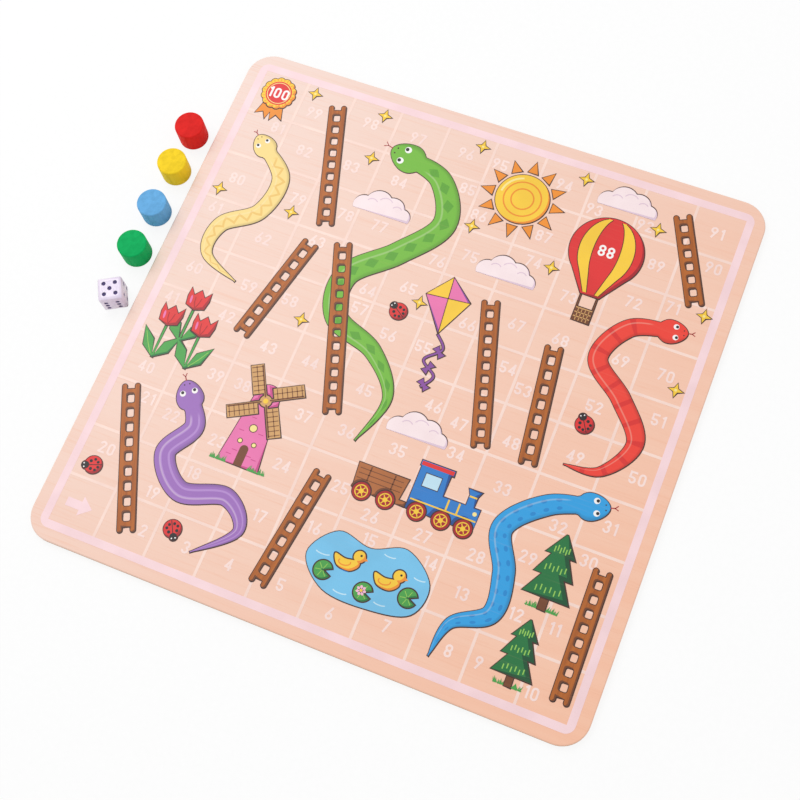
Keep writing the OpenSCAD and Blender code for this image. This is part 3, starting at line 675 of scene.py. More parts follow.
def snake_path(width, squares):
    """Points from nose to tail, with the half width and the distance from the nose of each."""
    body = through([on_board(*spot) for spot in squares])
    ahead = (body[0] - body[1]).normalized()
    reach = HEAD_L * width / 2
    steps = [reach * math.cos(math.pi / 2 * i / NOSE_STEPS) for i in range(NOSE_STEPS)]
    nose = [(body[0] + ahead * step, max(egg(step, width), NOSE_TIP)) for step in steps]
    halves = []
    walked = 0.0
    for i, point in enumerate(body):
        walked += (point - body[i - 1]).length if i else 0
        halves.append((point, max(egg(-walked, width), swell(i / (len(body) - 1)) * width / 2)))
    points, half = zip(*(nose + halves))
    along = [0.0]
    for a, b in zip(points, points[1:]):
        along.append(along[-1] + (b - a).length / width)
    return points, half, along


snake_paths = {name: snake_path(width * MM, squares) for name, (width, squares) in SNAKES.items()}
for name, (points, half, along) in snake_paths.items():
    print(name, "snake", len(points), "points,", round(along[-1], 1), "widths long")

# %% [markdown]
# Each skin has its own simple motif, drawn on the UV map with a few sums: diamonds, bands, spots, a
# zigzag and stripes. All share a shaded side and a pale belly line, and the motif fades out on the
# head.

# %% Skins of the snakes
SNAKE_T = 0.06 * MM


def skin_finish(name, main, motif, pattern):
    """A snake's ink. The pattern is a function of the distance along and across that gives 0 to 1."""
    finish = Finish(name + "_skin")
    spot = finish.node("ShaderNodeUVMap", {"uv_map": "skin"})
    along, across, _ = finish.split(spot)
    off_centre = abs(across - 0.5) * 2
    fibre = finish.grain(*FIBRE_WAVES)
    body = finish.step(along, 1.7, 2.1)
    shade = finish.step(across, 0.2, 0.02)
    light = finish.step(abs(across - 0.74), 0.06, 0.02) * body
    figure = pattern(finish, along, across, off_centre) * body
    tone = finish.mix(figure, main, motif)
    shaded = finish.mix(shade * 0.55, tone, toned(main, 0.5))
    lit = finish.mix(light * 0.18, shaded, linear(255, 250, 226))
    return printed(finish, lit, fibre)


def diamonds(finish, along, across, off_centre):
    return finish.step(abs(along * 1.15 % 1.0 - 0.5) * 2 + off_centre * 1.5, 0.78, 0.68)


def bands(finish, along, across, off_centre):
    return finish.step(abs(along * 0.9 % 1.0 - 0.5), 0.13, 0.09)


def spots(finish, along, across, off_centre):
    u = along * 1.5 % 1.0 - 0.5
    v = off_centre - 0.42
    return finish.step(u * u * 1.7 + v * v * 2.2, 0.09, 0.06)


def zigzag(finish, along, across, off_centre):
    wave = abs(along * 1.3 % 1.0 - 0.5) * 0.9 + 0.28
    return finish.step(abs(across - wave), 0.12, 0.08)


def stripes(finish, along, across, off_centre):
    return finish.step(abs(off_centre - 0.4), 0.13, 0.08)


SKINS = {
    "green": ((118, 188, 60), (94, 166, 50), diamonds),
    "red": ((242, 66, 52), (222, 48, 44), bands),
    "blue": ((44, 162, 228), (32, 138, 208), spots),
    "yellow": ((250, 220, 140), (240, 198, 110), zigzag),
    "purple": ((160, 112, 190), (182, 140, 208), stripes),
}
snakes = []
for name, (main, motif, pattern) in SKINS.items():
    points, half, along = snake_paths[name]
    spans = [(i, i + 1) for i in range(len(points) - 1)]
    base = base_mesh(name + "_path", points, spans, half=half, along=along)
    skin = skin_finish(name, linear(*main), linear(*motif), pattern)
    snake = snake_band.run(name + "_snake_print", base, "ink_" + name, Low=face_z, High=face_z + SNAKE_T,
                           Ink=skin)
    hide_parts(name + "_snake")
    low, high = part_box(name + "_snake")
    size, cad_size = ([round(v / MM, 1) for v in box] for box in (snake.dimensions, high - low))
    print(snake.name, len(snake.data.polygons), "faces,", size, "mm, CAD", cad_size)
    snakes.append(snake)

# %% [markdown]
# ## Key lines
# The print is drawn like a comic: every coloured shape has a thin dark line round it, and only the white
# ones have none. The solids leave a gap round each figure for it. The rim of a film is found in its mesh,
# with the way out at each point, and a tool draws the rim out into a line. Drawn the other way, the same
# tool shades a shape along its edge.

# %% The line tool
LINE_W = 0.8 * MM
LINE_LEAST = 0.55
SHADE_WAY = Vector((0.8, -0.6))
LINE_RISE = 0.02 * MM
SHARPEST = 0.4


def line_tool():
    """Draws a rim out between two offsets and makes it a closed plate. It slopes a little to its inner
    edge, so that no two lines share one level where they cross."""
    tool = Tool("rim_line", Inner="Float", Outer="Float", Low="Float", High="Float")
    strip = tool.node("GeometryNodeExtrudeMesh", {"mode": "EDGES"},
                      {"Mesh": tool.input("Geometry"), "Offset Scale": 0.0})
    way = tool.attribute("out", "FLOAT_VECTOR")
    outer, inner = (tool.node("ShaderNodeVectorMath", {"operation": "SCALE"},
                              {0: way, "Scale": tool.input(label)}) for label in ("Outer", "Inner"))
    lower = tool.node("ShaderNodeVectorMath", {"operation": "ADD"}, {0: inner, 1: (0, 0, -LINE_RISE / 2)})
    offset = tool.node("GeometryNodeSwitch", {"input_type": "VECTOR"},
                       {"Switch": strip.also("Top"), "False": lower, "True": outer})
    drawn = tool.node("GeometryNodeSetPosition", None, {"Geometry": strip, "Offset": offset})
    return tool.end(tool.thicken(drawn, tool.input("Low"), tool.input("High")))


def loops_of(meshes):
    """The outlines of the top faces of meshes, as loops of points with the faces on their left."""
    bm = bmesh.new()
    for mesh in meshes:
        bm.from_mesh(mesh)
    bmesh.ops.remove_doubles(bm, verts=bm.verts, dist=WELD)
    bm.normal_update()
    upper = [face for face in bm.faces if face.normal.z > 0.5]
    raised = set(upper)
    after = {}
    for face in upper:
        for corner in face.loops:
            if not any(other in raised for other in corner.edge.link_faces if other is not face):
                after[corner.vert] = corner.link_loop_next.vert
    loops = []
    while after:
        vert = next(iter(after))
        loop = []
        while vert in after:
            loop.append(vert.co.xy.copy())
            vert = after.pop(vert)
        loops.append(loop)
    bm.free()
    return loops


def rim_of(meshes, towards, least, holes=True):
    """The outlines of meshes as edges, with the way out from each point. It has full length where it
    faces the given way, and a least share of that elsewhere."""
    points, edges, outs = [], [], []
    for loop in loops_of(meshes):
        is_hole = sum(a.cross(b) for a, b in zip(loop, loop[1:] + loop[:1])) < 0
        if is_hole and not holes:
            continue
        first = len(points)
        for i, point in enumerate(loop):
            come = (point - loop[i - 1]).normalized()
            go = (loop[(i + 1) % len(loop)] - point).normalized()
            total = Vector((come.y + go.y, -come.x - go.x))
            out = total / max(1 + come.dot(go), SHARPEST)
            facing = max(out.normalized().dot(towards), 0)
            points.append(point)
            outs.append(out * (least + (1 - least) * facing))
            edges.append((first + i, first + (i + 1) % len(loop)))
    return base_mesh("rim", points, edges, out=outs)


rim_line = line_tool()
LADDERS = ["ladder_%d" % (i + 1) for i in range(9)]
LINED = LADDERS + [node for name, nodes in FILM_INKS.items() if INK_SLOTS[name] != "ink_white"
                   for node in nodes]


def films(nodes):
    """The meshes of CAD nodes."""
    return [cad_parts[node].data for node in nodes]


def key_lines(name, meshes, top, towards=SHADE_WAY, least=LINE_LEAST, width=LINE_W):
    """Dark lines round meshes, thickest on the side that faces the given way."""
    rim = rim_of(meshes, towards, least)
    return rim_line.print_in("key", name, rim, Inner=0.0, Outer=width, Low=face_z, High=top)


figure_lines = key_lines("figure_key_lines", films(LINED), film_z + LINE_RISE)
snake_lines = key_lines("snake_key_lines", [snake.data for snake in snakes],
                        face_z + SNAKE_T + LINE_RISE / 2)
print("key lines:", len(figure_lines.data.polygons), "and", len(snake_lines.data.polygons), "faces")

# %% [markdown]
# ## Shaded edges
# Comic colouring puts a darker tone of the same colour along the lower right of a shape. The rim tool
# does it inwards, and only on edges that face that way. Each darker tone is one piece for the films of
# that colour.

# %% Shade along the lower right
SHADE_W = 1.5 * MM
SHADE_LEAST = 0.02
SHADES = {
    "dark_brown": (LADDERS + ["wagon"], 0.75),
    "orange": (["sun", "rosette", "ducks"], 1.0),
    "dark_red": (["balloon", "tulip_heads", "ladybirds"], 1.2),
    "purple": (["kite"], 1.0),
    "lilac": (["clouds"], 1.1),
    "dark_green": (["lily_pads", "tulip_leaves"], 0.7),
    "deep_green": (["pines"], 1.5),
    "navy": (["engine"], 1.2),
    "rose": (["windmill_tower"], 1.0),
}
for tone, (nodes, share) in SHADES.items():
    rim = rim_of(films(nodes), SHADE_WAY, SHADE_LEAST, holes=tone == "dark_brown")
    piece = rim_line.print_in(tone, "shade_" + tone, rim, Inner=-SHADE_W * share, Outer=0.0, Low=film_z,
                              High=film_z + DETAIL_T / 2)
    print(piece.name, len(piece.data.polygons), "faces")

# %% [markdown]
# ## Ladders
# The ladders are printed as brown wood. Their fibres follow each ladder, so each has its own ink,
# turned to the line between the middles of its two ends, which are found in its film.

# %% Inks of the ladders
def ladder_turn(node):
    """The angle of a ladder, from its lowest to its highest tenth."""
    points = [vert.co.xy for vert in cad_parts[node].data.vertices]
    low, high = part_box(node)
    tenth = (high.y - low.y) / 10
    foot = [p for p in points if p.y < low.y + tenth]
    head = [p for p in points if p.y > high.y - tenth]
    run = sum(head, Vector((0, 0))) / len(head) - sum(foot, Vector((0, 0))) / len(foot)
    return math.atan2(run.y, run.x)


def ladder_ink(node):
    """Brown wood, drawn with long darker and paler fibres."""
    finish = Finish(node + "_ink")
    turn = -ladder_turn(node)
    streak = finish.grain(28, 480, turn)
    fibre = finish.grain(70, 1500, turn)
    tone = finish.mix(finish.step(streak, 0.36, 0.66), linear(188, 105, 38), linear(168, 90, 32))
    lines = finish.mix(finish.step(fibre, 0.55, 0.75) * 0.5, tone, linear(138, 71, 26))
    return finish.paint(lines, 0.42 + fibre * 0.2, fibre, INK_BUMP, SATIN)


for node in LADDERS:
    dress(ladder_ink(node), node)
    print(node, "leans", round(math.degrees(ladder_turn(node)), 1))

# %% [markdown]
# ## Stamps
# Eyes, spots, hubs, spokes and pleats are the same small shape many times. A stamp tool sets a disc or
# a bar on every point of a base mesh, with the size and turn that the point carries.

# %% The stamp tools
def stamp_tool(name, shape, sockets):
    """Sets a shape one unit large and one high on points that carry length, width and turn."""
    tool = Tool(name, Low="Float", High="Float")
    low, high = tool.input("Low"), tool.input("High")
    raised = tool.node("GeometryNodeSetPosition", None,
                       {"Geometry": tool.input("Geometry"), "Offset": tool.vector(z=(low + high) / 2)})
    size = tool.vector(tool.attribute("length"), tool.attribute("width"), high - low)
    turn = tool.vector(z=tool.attribute("turn"))
    stamp = tool.node(shape, None, sockets)
    set_down = tool.node("GeometryNodeInstanceOnPoints", None,
                         {"Points": raised, "Instance": stamp, "Rotation": turn, "Scale": size})
    return tool.end(set_down)


disc_stamp = stamp_tool("disc_stamp", "GeometryNodeMeshCylinder",
                        {"Vertices": 24, "Radius": 0.5, "Depth": 1.0})
bar_stamp = stamp_tool("bar_stamp", "GeometryNodeMeshCube", {"Size": (1.0, 1.0, 1.0)})


def stamps(tool, name, colour, marks, base=film_z, layer=0):
    """One piece of stamped shapes. Each mark is a place, a length, a width and a turn in radians."""
    places, lengths, widths, turns = zip(*marks)
    mesh = base_mesh(name + "_points", places, length=lengths, width=widths, turn=turns)
    low = base + layer * DETAIL_T
    return tool.print_in(colour, name, mesh, Low=low, High=low + DETAIL_T)


def dot(place, diameter):
    return (place, diameter, diameter, 0.0)


def spoke(centre, angle, start, end, width):
    """A bar along a radius, as a mark for the bar stamp."""
    return (centre + heading(angle) * (start + end) / 2, end - start, width, angle)


print("stamps ready")

# %% [markdown]
# ## Patches
# A detail is placed by shares of its figure's own box. Several figures are printed more than once, so
# the separate solids of a node are told apart by walking along their edges.

# %% Find the separate solids of a node
class Patch:
    """The points of one solid seen from above, with places in its box by shares."""

    def __init__(self, points):
        self.points = points
        self.low = Vector((min(p.x for p in points), min(p.y for p in points)))
        self.high = Vector((max(p.x for p in points), max(p.y for p in points)))
        self.size = self.high - self.low
        self.centre = (self.low + self.high) / 2

    def at(self, x_share, y_share):
        return Vector((self.low.x + self.size.x * x_share, self.low.y + self.size.y * y_share))

    def half_width(self, y):
        """Half the width of a shape that is symmetric about its middle, at a height."""
        middle = self.centre.x
        side = sorted((p.y, p.x - middle) for p in self.points if p.x >= middle - 0.01 * MM)
        below = max((s for s in side if s[0] <= y), default=side[0])
        above = min((s for s in side if s[0] >= y), default=side[-1])
        share = 0 if above[0] == below[0] else (y - below[0]) / (above[0] - below[0])
        return below[1] + (above[1] - below[1]) * share


def patches(node):
    """One patch for each separate solid of a node, from left to right."""
    bm = bmesh.new()
    bm.from_mesh(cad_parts[node].data)
    bmesh.ops.remove_doubles(bm, verts=bm.verts, dist=WELD)
    seen = set()
    found = []
    for start in bm.verts:
        if start in seen:
            continue
        seen.add(start)
        trail = [start]
        for vert in trail:
            fresh = [edge.other_vert(vert) for edge in vert.link_edges]
            trail.extend(other for other in fresh if other not in seen)
            seen.update(fresh)
        found.append(Patch([vert.co.xy.copy() for vert in trail]))
    bm.free()
    return sorted(found, key=lambda patch: patch.low.x)


def whole(node):
    """A node as one patch."""
    return Patch([vert.co.xy.copy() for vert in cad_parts[node].data.vertices])


for node in ("pines", "ducks", "clouds", "tulip_heads", "engine_wheels", "sparkles", "ladybirds"):
    print(node, len(patches(node)), "solids")

# %% [markdown]
# ## Heads of the snakes
# Each head gets two small eyes, two nostrils and a forked tongue, all placed from the path's first
# points. Most drawn lines in the print use one of four widths of pen.

# %% Eyes, nostrils and tongues
FINE = 0.45 * MM
THIN = 0.6 * MM
PLAIN = 0.7 * MM
BROAD = 0.9 * MM
eyes, pupils, nostrils, tongues = [], [], [], []
for name, (points, half, along) in snake_paths.items():
    width = SNAKES[name][0] * MM
    nose, middle = points[0], points[NOSE_STEPS]
    ahead = (nose - middle).normalized()
    side = left_of(ahead)
    for hand in (1, -1):
        eye_at = middle + ahead * width * 0.16 + side * hand * width * 0.3
        eyes.append(dot(eye_at, width * 0.3))
        pupils.append(dot(eye_at + ahead * width * 0.05, width * 0.16))
        nostrils.append(dot(middle + ahead * width * 0.58 + side * hand * width * 0.13, width * 0.07))
        fork = nose + ahead * width * 0.22
        tongues.append(([fork, fork + (ahead + side * hand * 0.7) * width * 0.16], 0.5 * MM))
    tongues.append(([nose, nose + ahead * width * 0.24], THIN))
head_z = face_z + SNAKE_T
stamps(disc_stamp, "snake_eyes", "chalk", eyes, head_z)
stamps(disc_stamp, "snake_pupils", "black", pupils, head_z, 1)
stamps(disc_stamp, "snake_nostrils", "key", nostrils, head_z)
details("snake_tongues", "dark_red", lines=tongues, base=face_z, thick=ink_t + LINE_RISE)
print(len(eyes), "eyes,", len(tongues), "strokes of tongues")

# %% [markdown]
# ## Sky figures
# The sun has rings, the balloon has yellow gores that follow its outline, the basket is woven, the kite
# is sewn of four panels, and the clouds have soft curls.

# %% Sun, balloon, kite and clouds
sun = whole("sun")
sun_r = sun.size.x / 2
rings = [(arc(sun.centre, sun_r * share), BROAD) for share in (0.7, 0.42)]
gleam = arc(sun.centre, sun_r * 0.85, start=105, end=175)
details("sun_rings", "orange", rings=rings)
details("sun_gleam", "pale_yellow", lines=[(gleam, 1.3 * MM)])

balloon = whole("balloon")
GORES = ((-0.74, -0.36), (0.36, 0.74))
GORE_STEPS = 40
heights = [balloon.low.y + balloon.size.y * i / GORE_STEPS for i in range(1, GORE_STEPS)]


def gore_rows(low_share, high_share):
    """Rows across the balloon between two shares of its half width."""
    middle = balloon.centre.x
    halves = [(y, balloon.half_width(y)) for y in heights]
    return [((middle + high_share * half, y), (middle + low_share * half, y)) for y, half in halves]


details("balloon_gores", "yellow", bands=[gore_rows(*gore) for gore in GORES])
seams = [[row[0] for row in gore_rows(0, share)] for gore in GORES for share in gore]
details("balloon_seams", "key", lines=[(seam, FINE) for seam in seams], layer=1)
basket = whole("balloon_basket")
BASKET_TALL = 0.85
rim = BASKET_TALL * basket.size.x / basket.size.y
weave = [([basket.at(0.04, rim * y), basket.at(0.96, rim * y)], PLAIN) for y in (0.3, 0.6, 0.92)]
weave += [([basket.at(x, 0.02), basket.at(x, rim * 0.9)], 0.5 * MM) for x in (0.2, 0.4, 0.6, 0.8)]
details("basket_weave", "tan", lines=weave)

kite = whole("kite")
top = max(kite.points, key=lambda p: p.y)
foot = min(kite.points, key=lambda p: p.y)
left = min(kite.points, key=lambda p: p.x)
right_tip = max(kite.points, key=lambda p: p.x)
spar = foot - top
crossing = top + spar * ((left - top).cross(right_tip - left) / spar.cross(right_tip - left))
details("kite_panels", "yellow", plates=[(top, left, crossing), (foot, right_tip, crossing)])
details("kite_spars", "key", lines=[((top, foot), FINE), ((left, right_tip), FINE)], layer=1)

curls = []
for cloud in patches("clouds"):
    for x, y, r in ((0.3, 0.34, 0.1), (0.52, 0.46, 0.13), (0.74, 0.34, 0.09)):
        curls.append((arc(cloud.at(x, y), cloud.size.x * r, start=40, end=150), THIN))
details("cloud_curls", "lilac", lines=curls)
CLOUD_WAY = Vector((0.2, 0.98))
key_lines("cloud_lines", films(["clouds"]), film_z + LINE_RISE, CLOUD_WAY, SHADE_LEAST, LINE_W * 0.8)
print("sky figures:", len(seams), "seams,", len(curls), "curls")

# %% [markdown]
# ## Windmill and pond
# The windmill has a door, windows and slatted sails. The pond has ripples and a darker near shore, the
# pads have veins and one a flower, and the ducks get a beak, a wing and an eye. Most are lines and
# plates placed by shares of the figure's box. The petals and veins repeat round a centre, so they are
# stamped.

# %% Windmill and pond
tower = whole("windmill_tower")
door = [tower.at(0.4, 0.0), tower.at(0.6, 0.0)]
door += arc(tower.at(0.5, 0.2), tower.size.x * 0.1, start=0, end=180, steps=16)
details("windmill_door", "dark_brown", plates=[door])
panes = [arc(tower.at(x, y), tower.size.x * r)
         for x, y, r in ((0.5, 0.46, 0.09), (0.33, 0.28, 0.055), (0.67, 0.28, 0.055))]
details("windmill_windows", "pale_yellow", plates=panes)
details("windmill_frames", "key", rings=[(pane, FINE) for pane in panes], layer=1)
courses = [([tower.at(x, y), tower.at(x + 0.12, y)], FINE) for x, y in
           ((0.14, 0.1), (0.74, 0.12), (0.2, 0.4), (0.66, 0.42), (0.36, 0.58), (0.6, 0.14), (0.24, 0.16))]
details("windmill_bricks", "rose", lines=courses)

sails = whole("windmill_sails")
hub = sails.centre
reach = max((p - hub).length for p in sails.points)
SAIL_TURN = math.radians(28)
slats = []
for quarter in range(4):
    angle = SAIL_TURN + quarter * math.pi / 2
    arm = heading(angle)
    side = left_of(arm)
    for share in (0.3, 0.42, 0.54, 0.66, 0.78, 0.9):
        foot = hub + arm * reach * share
        slats.append(([foot, foot + side * reach * 0.27], FINE))
    lath = hub + side * reach * 0.15
    slats.append(([hub + arm * reach * 0.1, hub + arm * reach * 0.94], BROAD))
    slats.append(([lath + arm * reach * 0.22, lath + arm * reach * 0.94], FINE))
details("windmill_slats", "dark_brown", lines=slats)
stamps(disc_stamp, "windmill_hub", "yellow", [dot(hub, 3.2 * MM)], layer=1)

pond = whole("pond")
ripples = [(arc(pond.at(x, y), pond.size.x * r, pond.size.x * r * 0.3, 200, 340), PLAIN)
           for x, y, r in ((0.12, 0.55, 0.06), (0.62, 0.84, 0.05), (0.68, 0.16, 0.05), (0.9, 0.68, 0.05),
                           (0.36, 0.12, 0.06))]
details("pond_ripples", "pale_blue", lines=ripples)
outline = max(loops_of(films(["pond"])), key=len)
edge = sorted((p for p in outline if p.y < pond.at(0, 0.42).y), key=lambda p: p.x)
shares = [0.1 * math.sin(math.pi * i / (len(edge) - 1)) for i in range(len(edge))]
shore = [(p, p.lerp(pond.centre, share)) for p, share in zip(edge, shares)]
details("pond_shore", "blue", bands=[shore[1:-1]])
pads = patches("lily_pads")
veins = [spoke(pad.centre, math.radians(angle), pad.size.y * 0.06, pad.size.y * 0.4, FINE)
         for pad in pads for angle in (70, 130, 190, 250, 310)]
stamps(bar_stamp, "pad_veins", "light_green", veins)
flower = pads[1].at(0.4, 0.55)
PETALS = 7
petals = [(flower + heading(a) * 1.7 * MM, 2.8 * MM, 1.7 * MM, a)
          for a in (math.tau * i / PETALS for i in range(PETALS))]
stamps(disc_stamp, "lily_petals", "pale_pink", petals, layer=1)
stamps(disc_stamp, "lily_heart", "yellow", [dot(flower, 1.7 * MM)], layer=2)

beaks, wings, duck_eyes = [], [], []
for duck in patches("ducks"):
    head_r = 0.21 * duck.size.x
    head = duck.high - Vector((head_r, head_r))
    duck_eyes.append(dot(head + Vector((0.25, 0.3)) * head_r, 0.36 * head_r))
    beaks.append((head + Vector((0.78, 0.32)) * head_r, head + Vector((0.78, -0.42)) * head_r,
                  head + Vector((1.55, -0.12)) * head_r))
    wings.append(arc(duck.at(0.4, 0.32), duck.size.x * 0.2, duck.size.y * 0.15, 150, 375, 8, 20))
details("duck_beaks", "orange", plates=beaks)
details("duck_wings", "orange", lines=[(wing, PLAIN) for wing in wings])
stamps(disc_stamp, "duck_eyes", "black", duck_eyes)
print("windmill and pond:", len(slats), "slats,", len(veins), "veins")

# %% [markdown]
# ## Pines and tulips
# Short upright strokes in a pale green stand for needles, and each bloom has two folds and a gleam. The
# outer leaves of the tulips get a rib.

# %% Needles, folds and ribs
NEEDLES = 6
strokes = []
for pine in patches("pines"):
    for y, spread in ((0.06, 0.6), (0.4, 0.5), (0.7, 0.36)):
        for i in range(NEEDLES):
            x = 0.5 + spread * (i - (NEEDLES - 1) / 2) / NEEDLES
            foot = pine.at(x, y + 0.03 * (i % 2))
            strokes.append(([foot, foot + Vector((0, pine.size.y * 0.09))], PLAIN))
details("pine_needles", "light_green", lines=strokes)

blooms = patches("tulip_heads")
BLOOM_SHARE = 0.38
folds, gleams, ribs = [], [], []
for bloom in blooms:
    folds.append(([bloom.at(0.36, 0.62), bloom.at(0.4, 0.35), bloom.at(0.5, 0.1)], FINE))
    folds.append(([bloom.at(0.64, 0.62), bloom.at(0.6, 0.35), bloom.at(0.52, 0.1)], FINE))
    gleams.append(arc(bloom.at(0.2, 0.45), bloom.size.x * 0.05, bloom.size.y * 0.2, turn=8))
for bloom, hand in ((blooms[0], -1), (blooms[-1], 1)):
    tall = bloom.size.y / BLOOM_SHARE
    root = Vector((bloom.centre.x, bloom.high.y - tall))
    leaf = [root + Vector((hand * x, y)) * tall for x, y in ((0.05, 0.05), (0.17, 0.22), (0.28, 0.41))]
    ribs.append((leaf, FINE))
details("tulip_folds", "dark_red", lines=folds, layer=1)
details("tulip_gleam", "pink", plates=gleams)
details("leaf_ribs", "light_green", lines=ribs)
print(len(strokes), "strokes of needles,", len(folds), "folds")

# %% [markdown]
# ## Grass
# Tufts of grass stand on both sides of the windmill and of each trunk. A tool sets a pointed blade at
# every few tenths of a millimetre along a short line, and gives each its own height and lean by chance.
# The seed is an input, so the same blades come out each time. The blades differ in thickness, so that
# no two tops share one level.

# %% Grass by a scatter tool
def grass_tool():
    """Scatters blades along lines: flat three-cornered points with a random length and lean."""
    tool = Tool("grass_blades", Low="Float", High="Float", Spacing="Float", Blade="Float", Seed="Int")
    low, high, blade, seed = (tool.input(label) for label in ("Low", "High", "Blade", "Seed"))

    def chance(least, most, change):
        """A random number for each blade. Change gives each use its own row of numbers."""
        return tool.node("FunctionNodeRandomValue", {"data_type": "FLOAT"},
                         {2: least, 3: most, "Seed": seed + change}, 1)

    line = tool.node("GeometryNodeMeshToCurve", None, {"Mesh": tool.input("Geometry")})
    feet = tool.node("GeometryNodeCurveToPoints", {"mode": "LENGTH"},
                     {"Curve": line, "Length": tool.input("Spacing")})
    raised = tool.node("GeometryNodeSetPosition", None, {"Geometry": feet, "Offset": tool.vector(z=low)})
    point = tool.node("GeometryNodeMeshCylinder", None, {"Vertices": 3, "Radius": 2 / 3, "Depth": 1.0})
    stood = tool.node("GeometryNodeTransform", None, {"Geometry": point, "Translation": (1 / 3, 0, 0.5)})
    size = tool.vector(blade * chance(0.5, 1.0, 1), blade * 0.26, (high - low) * chance(0.5, 1.0, 2))
    lean = tool.vector(z=math.pi / 2 + chance(-0.5, 0.5, 3))
    set_down = tool.node("GeometryNodeInstanceOnPoints", None,
                         {"Points": raised, "Instance": stood, "Rotation": lean, "Scale": size})
    return tool.end(set_down)


GRASS_SEED = 7
tuft_spans = [(tower, -0.16, 0.2), (tower, 0.76, 1.16)]
for trunk in patches("pine_trunks"):
    tuft_spans += [(trunk, -1.5, -0.2), (trunk, 1.2, 2.5)]
tuft_ends = [patch.at(x, -0.01) for patch, *span in tuft_spans for x in span]
tuft_lines = base_mesh("tuft_lines", tuft_ends, [(i, i + 1) for i in range(0, len(tuft_ends), 2)])
grass = grass_tool().print_in("green", "grass_blades", tuft_lines, Low=film_z, High=film_z + 2 * DETAIL_T,
                              Spacing=0.7 * MM, Blade=4.2 * MM, Seed=GRASS_SEED)
print("grass:", len(tuft_spans), "tufts,", len(grass.data.polygons), "faces")

# %% [markdown]
# ## Train
# The engine is drawn from its own length: a window, a red roof, brass bands and a lamp. The wagon has
# planks. Each wheel has a tyre line, spokes and a hub. The spokes and hubs are stamped, since all
# wheels share them.

# %% Engine, wagon and wheels
ENGINE_L, ENGINE_FRONT, ENGINE_TOP = 1.02, 0.5, 0.86
engine = whole("engine")
unit = engine.size.x / ENGINE_L
engine_at = Vector((engine.high.x - ENGINE_FRONT * unit, engine.high.y - ENGINE_TOP * unit))


def on_engine(x, y):
    return engine_at + Vector((x, y)) * unit


def box_outline(left, low, right, high):
    return [on_engine(left, low), on_engine(right, low), on_engine(right, high), on_engine(left, high)]


details("engine_roof", "red", plates=[box_outline(-0.51, 0.79, -0.03, 0.85)])
window = box_outline(-0.4, 0.5, -0.16, 0.7)
details("engine_window", "pale_blue", plates=[window])
details("engine_window_frame", "key", rings=[(window, THIN)], layer=1)
brass = [([on_engine(x, 0.29), on_engine(x, 0.45)], 1.1 * MM) for x in (0.04, 0.2)]
brass.append(([on_engine(-0.48, 0.28), on_engine(0.49, 0.28)], BROAD))
brass.append(([on_engine(0.285, 0.6), on_engine(0.395, 0.6)], 1.0 * MM))
details("engine_brass", "yellow", lines=brass)
lamp_mark = dot(on_engine(0.44, 0.38), 2.6 * MM)
stamps(disc_stamp, "engine_lamp", "pale_yellow", [lamp_mark], layer=1)

wagon = whole("wagon")
planks = [([wagon.at(0.05, y), wagon.at(0.85, y)], FINE) for y in (0.44, 0.63, 0.82)]
planks += [([wagon.at(x, 0.36), wagon.at(x, 0.97)], 0.8 * MM) for x in (0.24, 0.68)]
details("wagon_planks", "dark_brown", lines=planks)
wheels = patches("engine_wheels")
wheel_r = wheels[0].size.x / 2
tyres = [(arc(wheel.centre, wheel_r * 0.68), PLAIN) for wheel in wheels]
SPOKES = 6
spokes = [spoke(wheel.centre, math.tau * i / SPOKES, wheel_r * 0.2, wheel_r * 0.66, THIN)
          for wheel in wheels for i in range(SPOKES)]
hubs = [dot(wheel.centre, wheel_r * 0.55) for wheel in wheels]
details("wheel_tyres", "yellow", rings=tyres)
stamps(bar_stamp, "wheel_spokes", "yellow", spokes)
stamps(disc_stamp, "wheel_hubs", "yellow", hubs, layer=1)
print(len(wheels), "wheels,", len(spokes), "spokes")

# %% [markdown]
# ## Ladybirds, sparkles and rosette
# The ladybirds have a black head, two eyes, six spots and a line between the wings, all turned with the
# insect. The sparkles have a bright heart. The rosette on the last square has pleats round a red disc.

# %% Spots, hearts and pleats
LADYBIRDS = ((4.5, 6.0, 145), (2.28, 0.72, -60), (8.45, 5.12, 120), (0.4, 1.28, 200))
BODY_SHARE = 1.15
bug = patches("ladybirds")[0]
bug_d = max((a - b).length for a in bug.points for b in bug.points) / BODY_SHARE
heads, spot_marks, wing_lines, bug_eyes = [], [], [], []
for column, row, turn in LADYBIRDS:
    middle = on_board(column, row)
    ahead = heading(math.radians(turn))
    side = left_of(ahead)
    heads.append(dot(middle + ahead * bug_d * 0.44, bug_d * 0.42))
    wing_lines.append(([middle - ahead * bug_d * 0.48, middle + ahead * bug_d * 0.3], FINE))
    for hand in (1, -1):
        bug_eyes.append(dot(middle + (ahead * 0.52 + side * hand * 0.1) * bug_d, bug_d * 0.08))
        for x, y, d in ((0.14, 0.22, 0.18), (-0.1, 0.3, 0.16), (-0.26, 0.14, 0.16)):
            spot_marks.append(dot(middle + (ahead * x + side * hand * y) * bug_d, bug_d * d))
stamps(disc_stamp, "ladybird_heads", "black", heads, layer=1)
stamps(disc_stamp, "ladybird_spots", "black", spot_marks)
details("ladybird_wings", "black", lines=wing_lines)
stamps(disc_stamp, "ladybird_eyes", "chalk", bug_eyes, layer=2)
hearts = [dot(sparkle.centre, 1.7 * MM) for sparkle in patches("sparkles")]
stamps(disc_stamp, "sparkle_hearts", "pale_yellow", hearts)

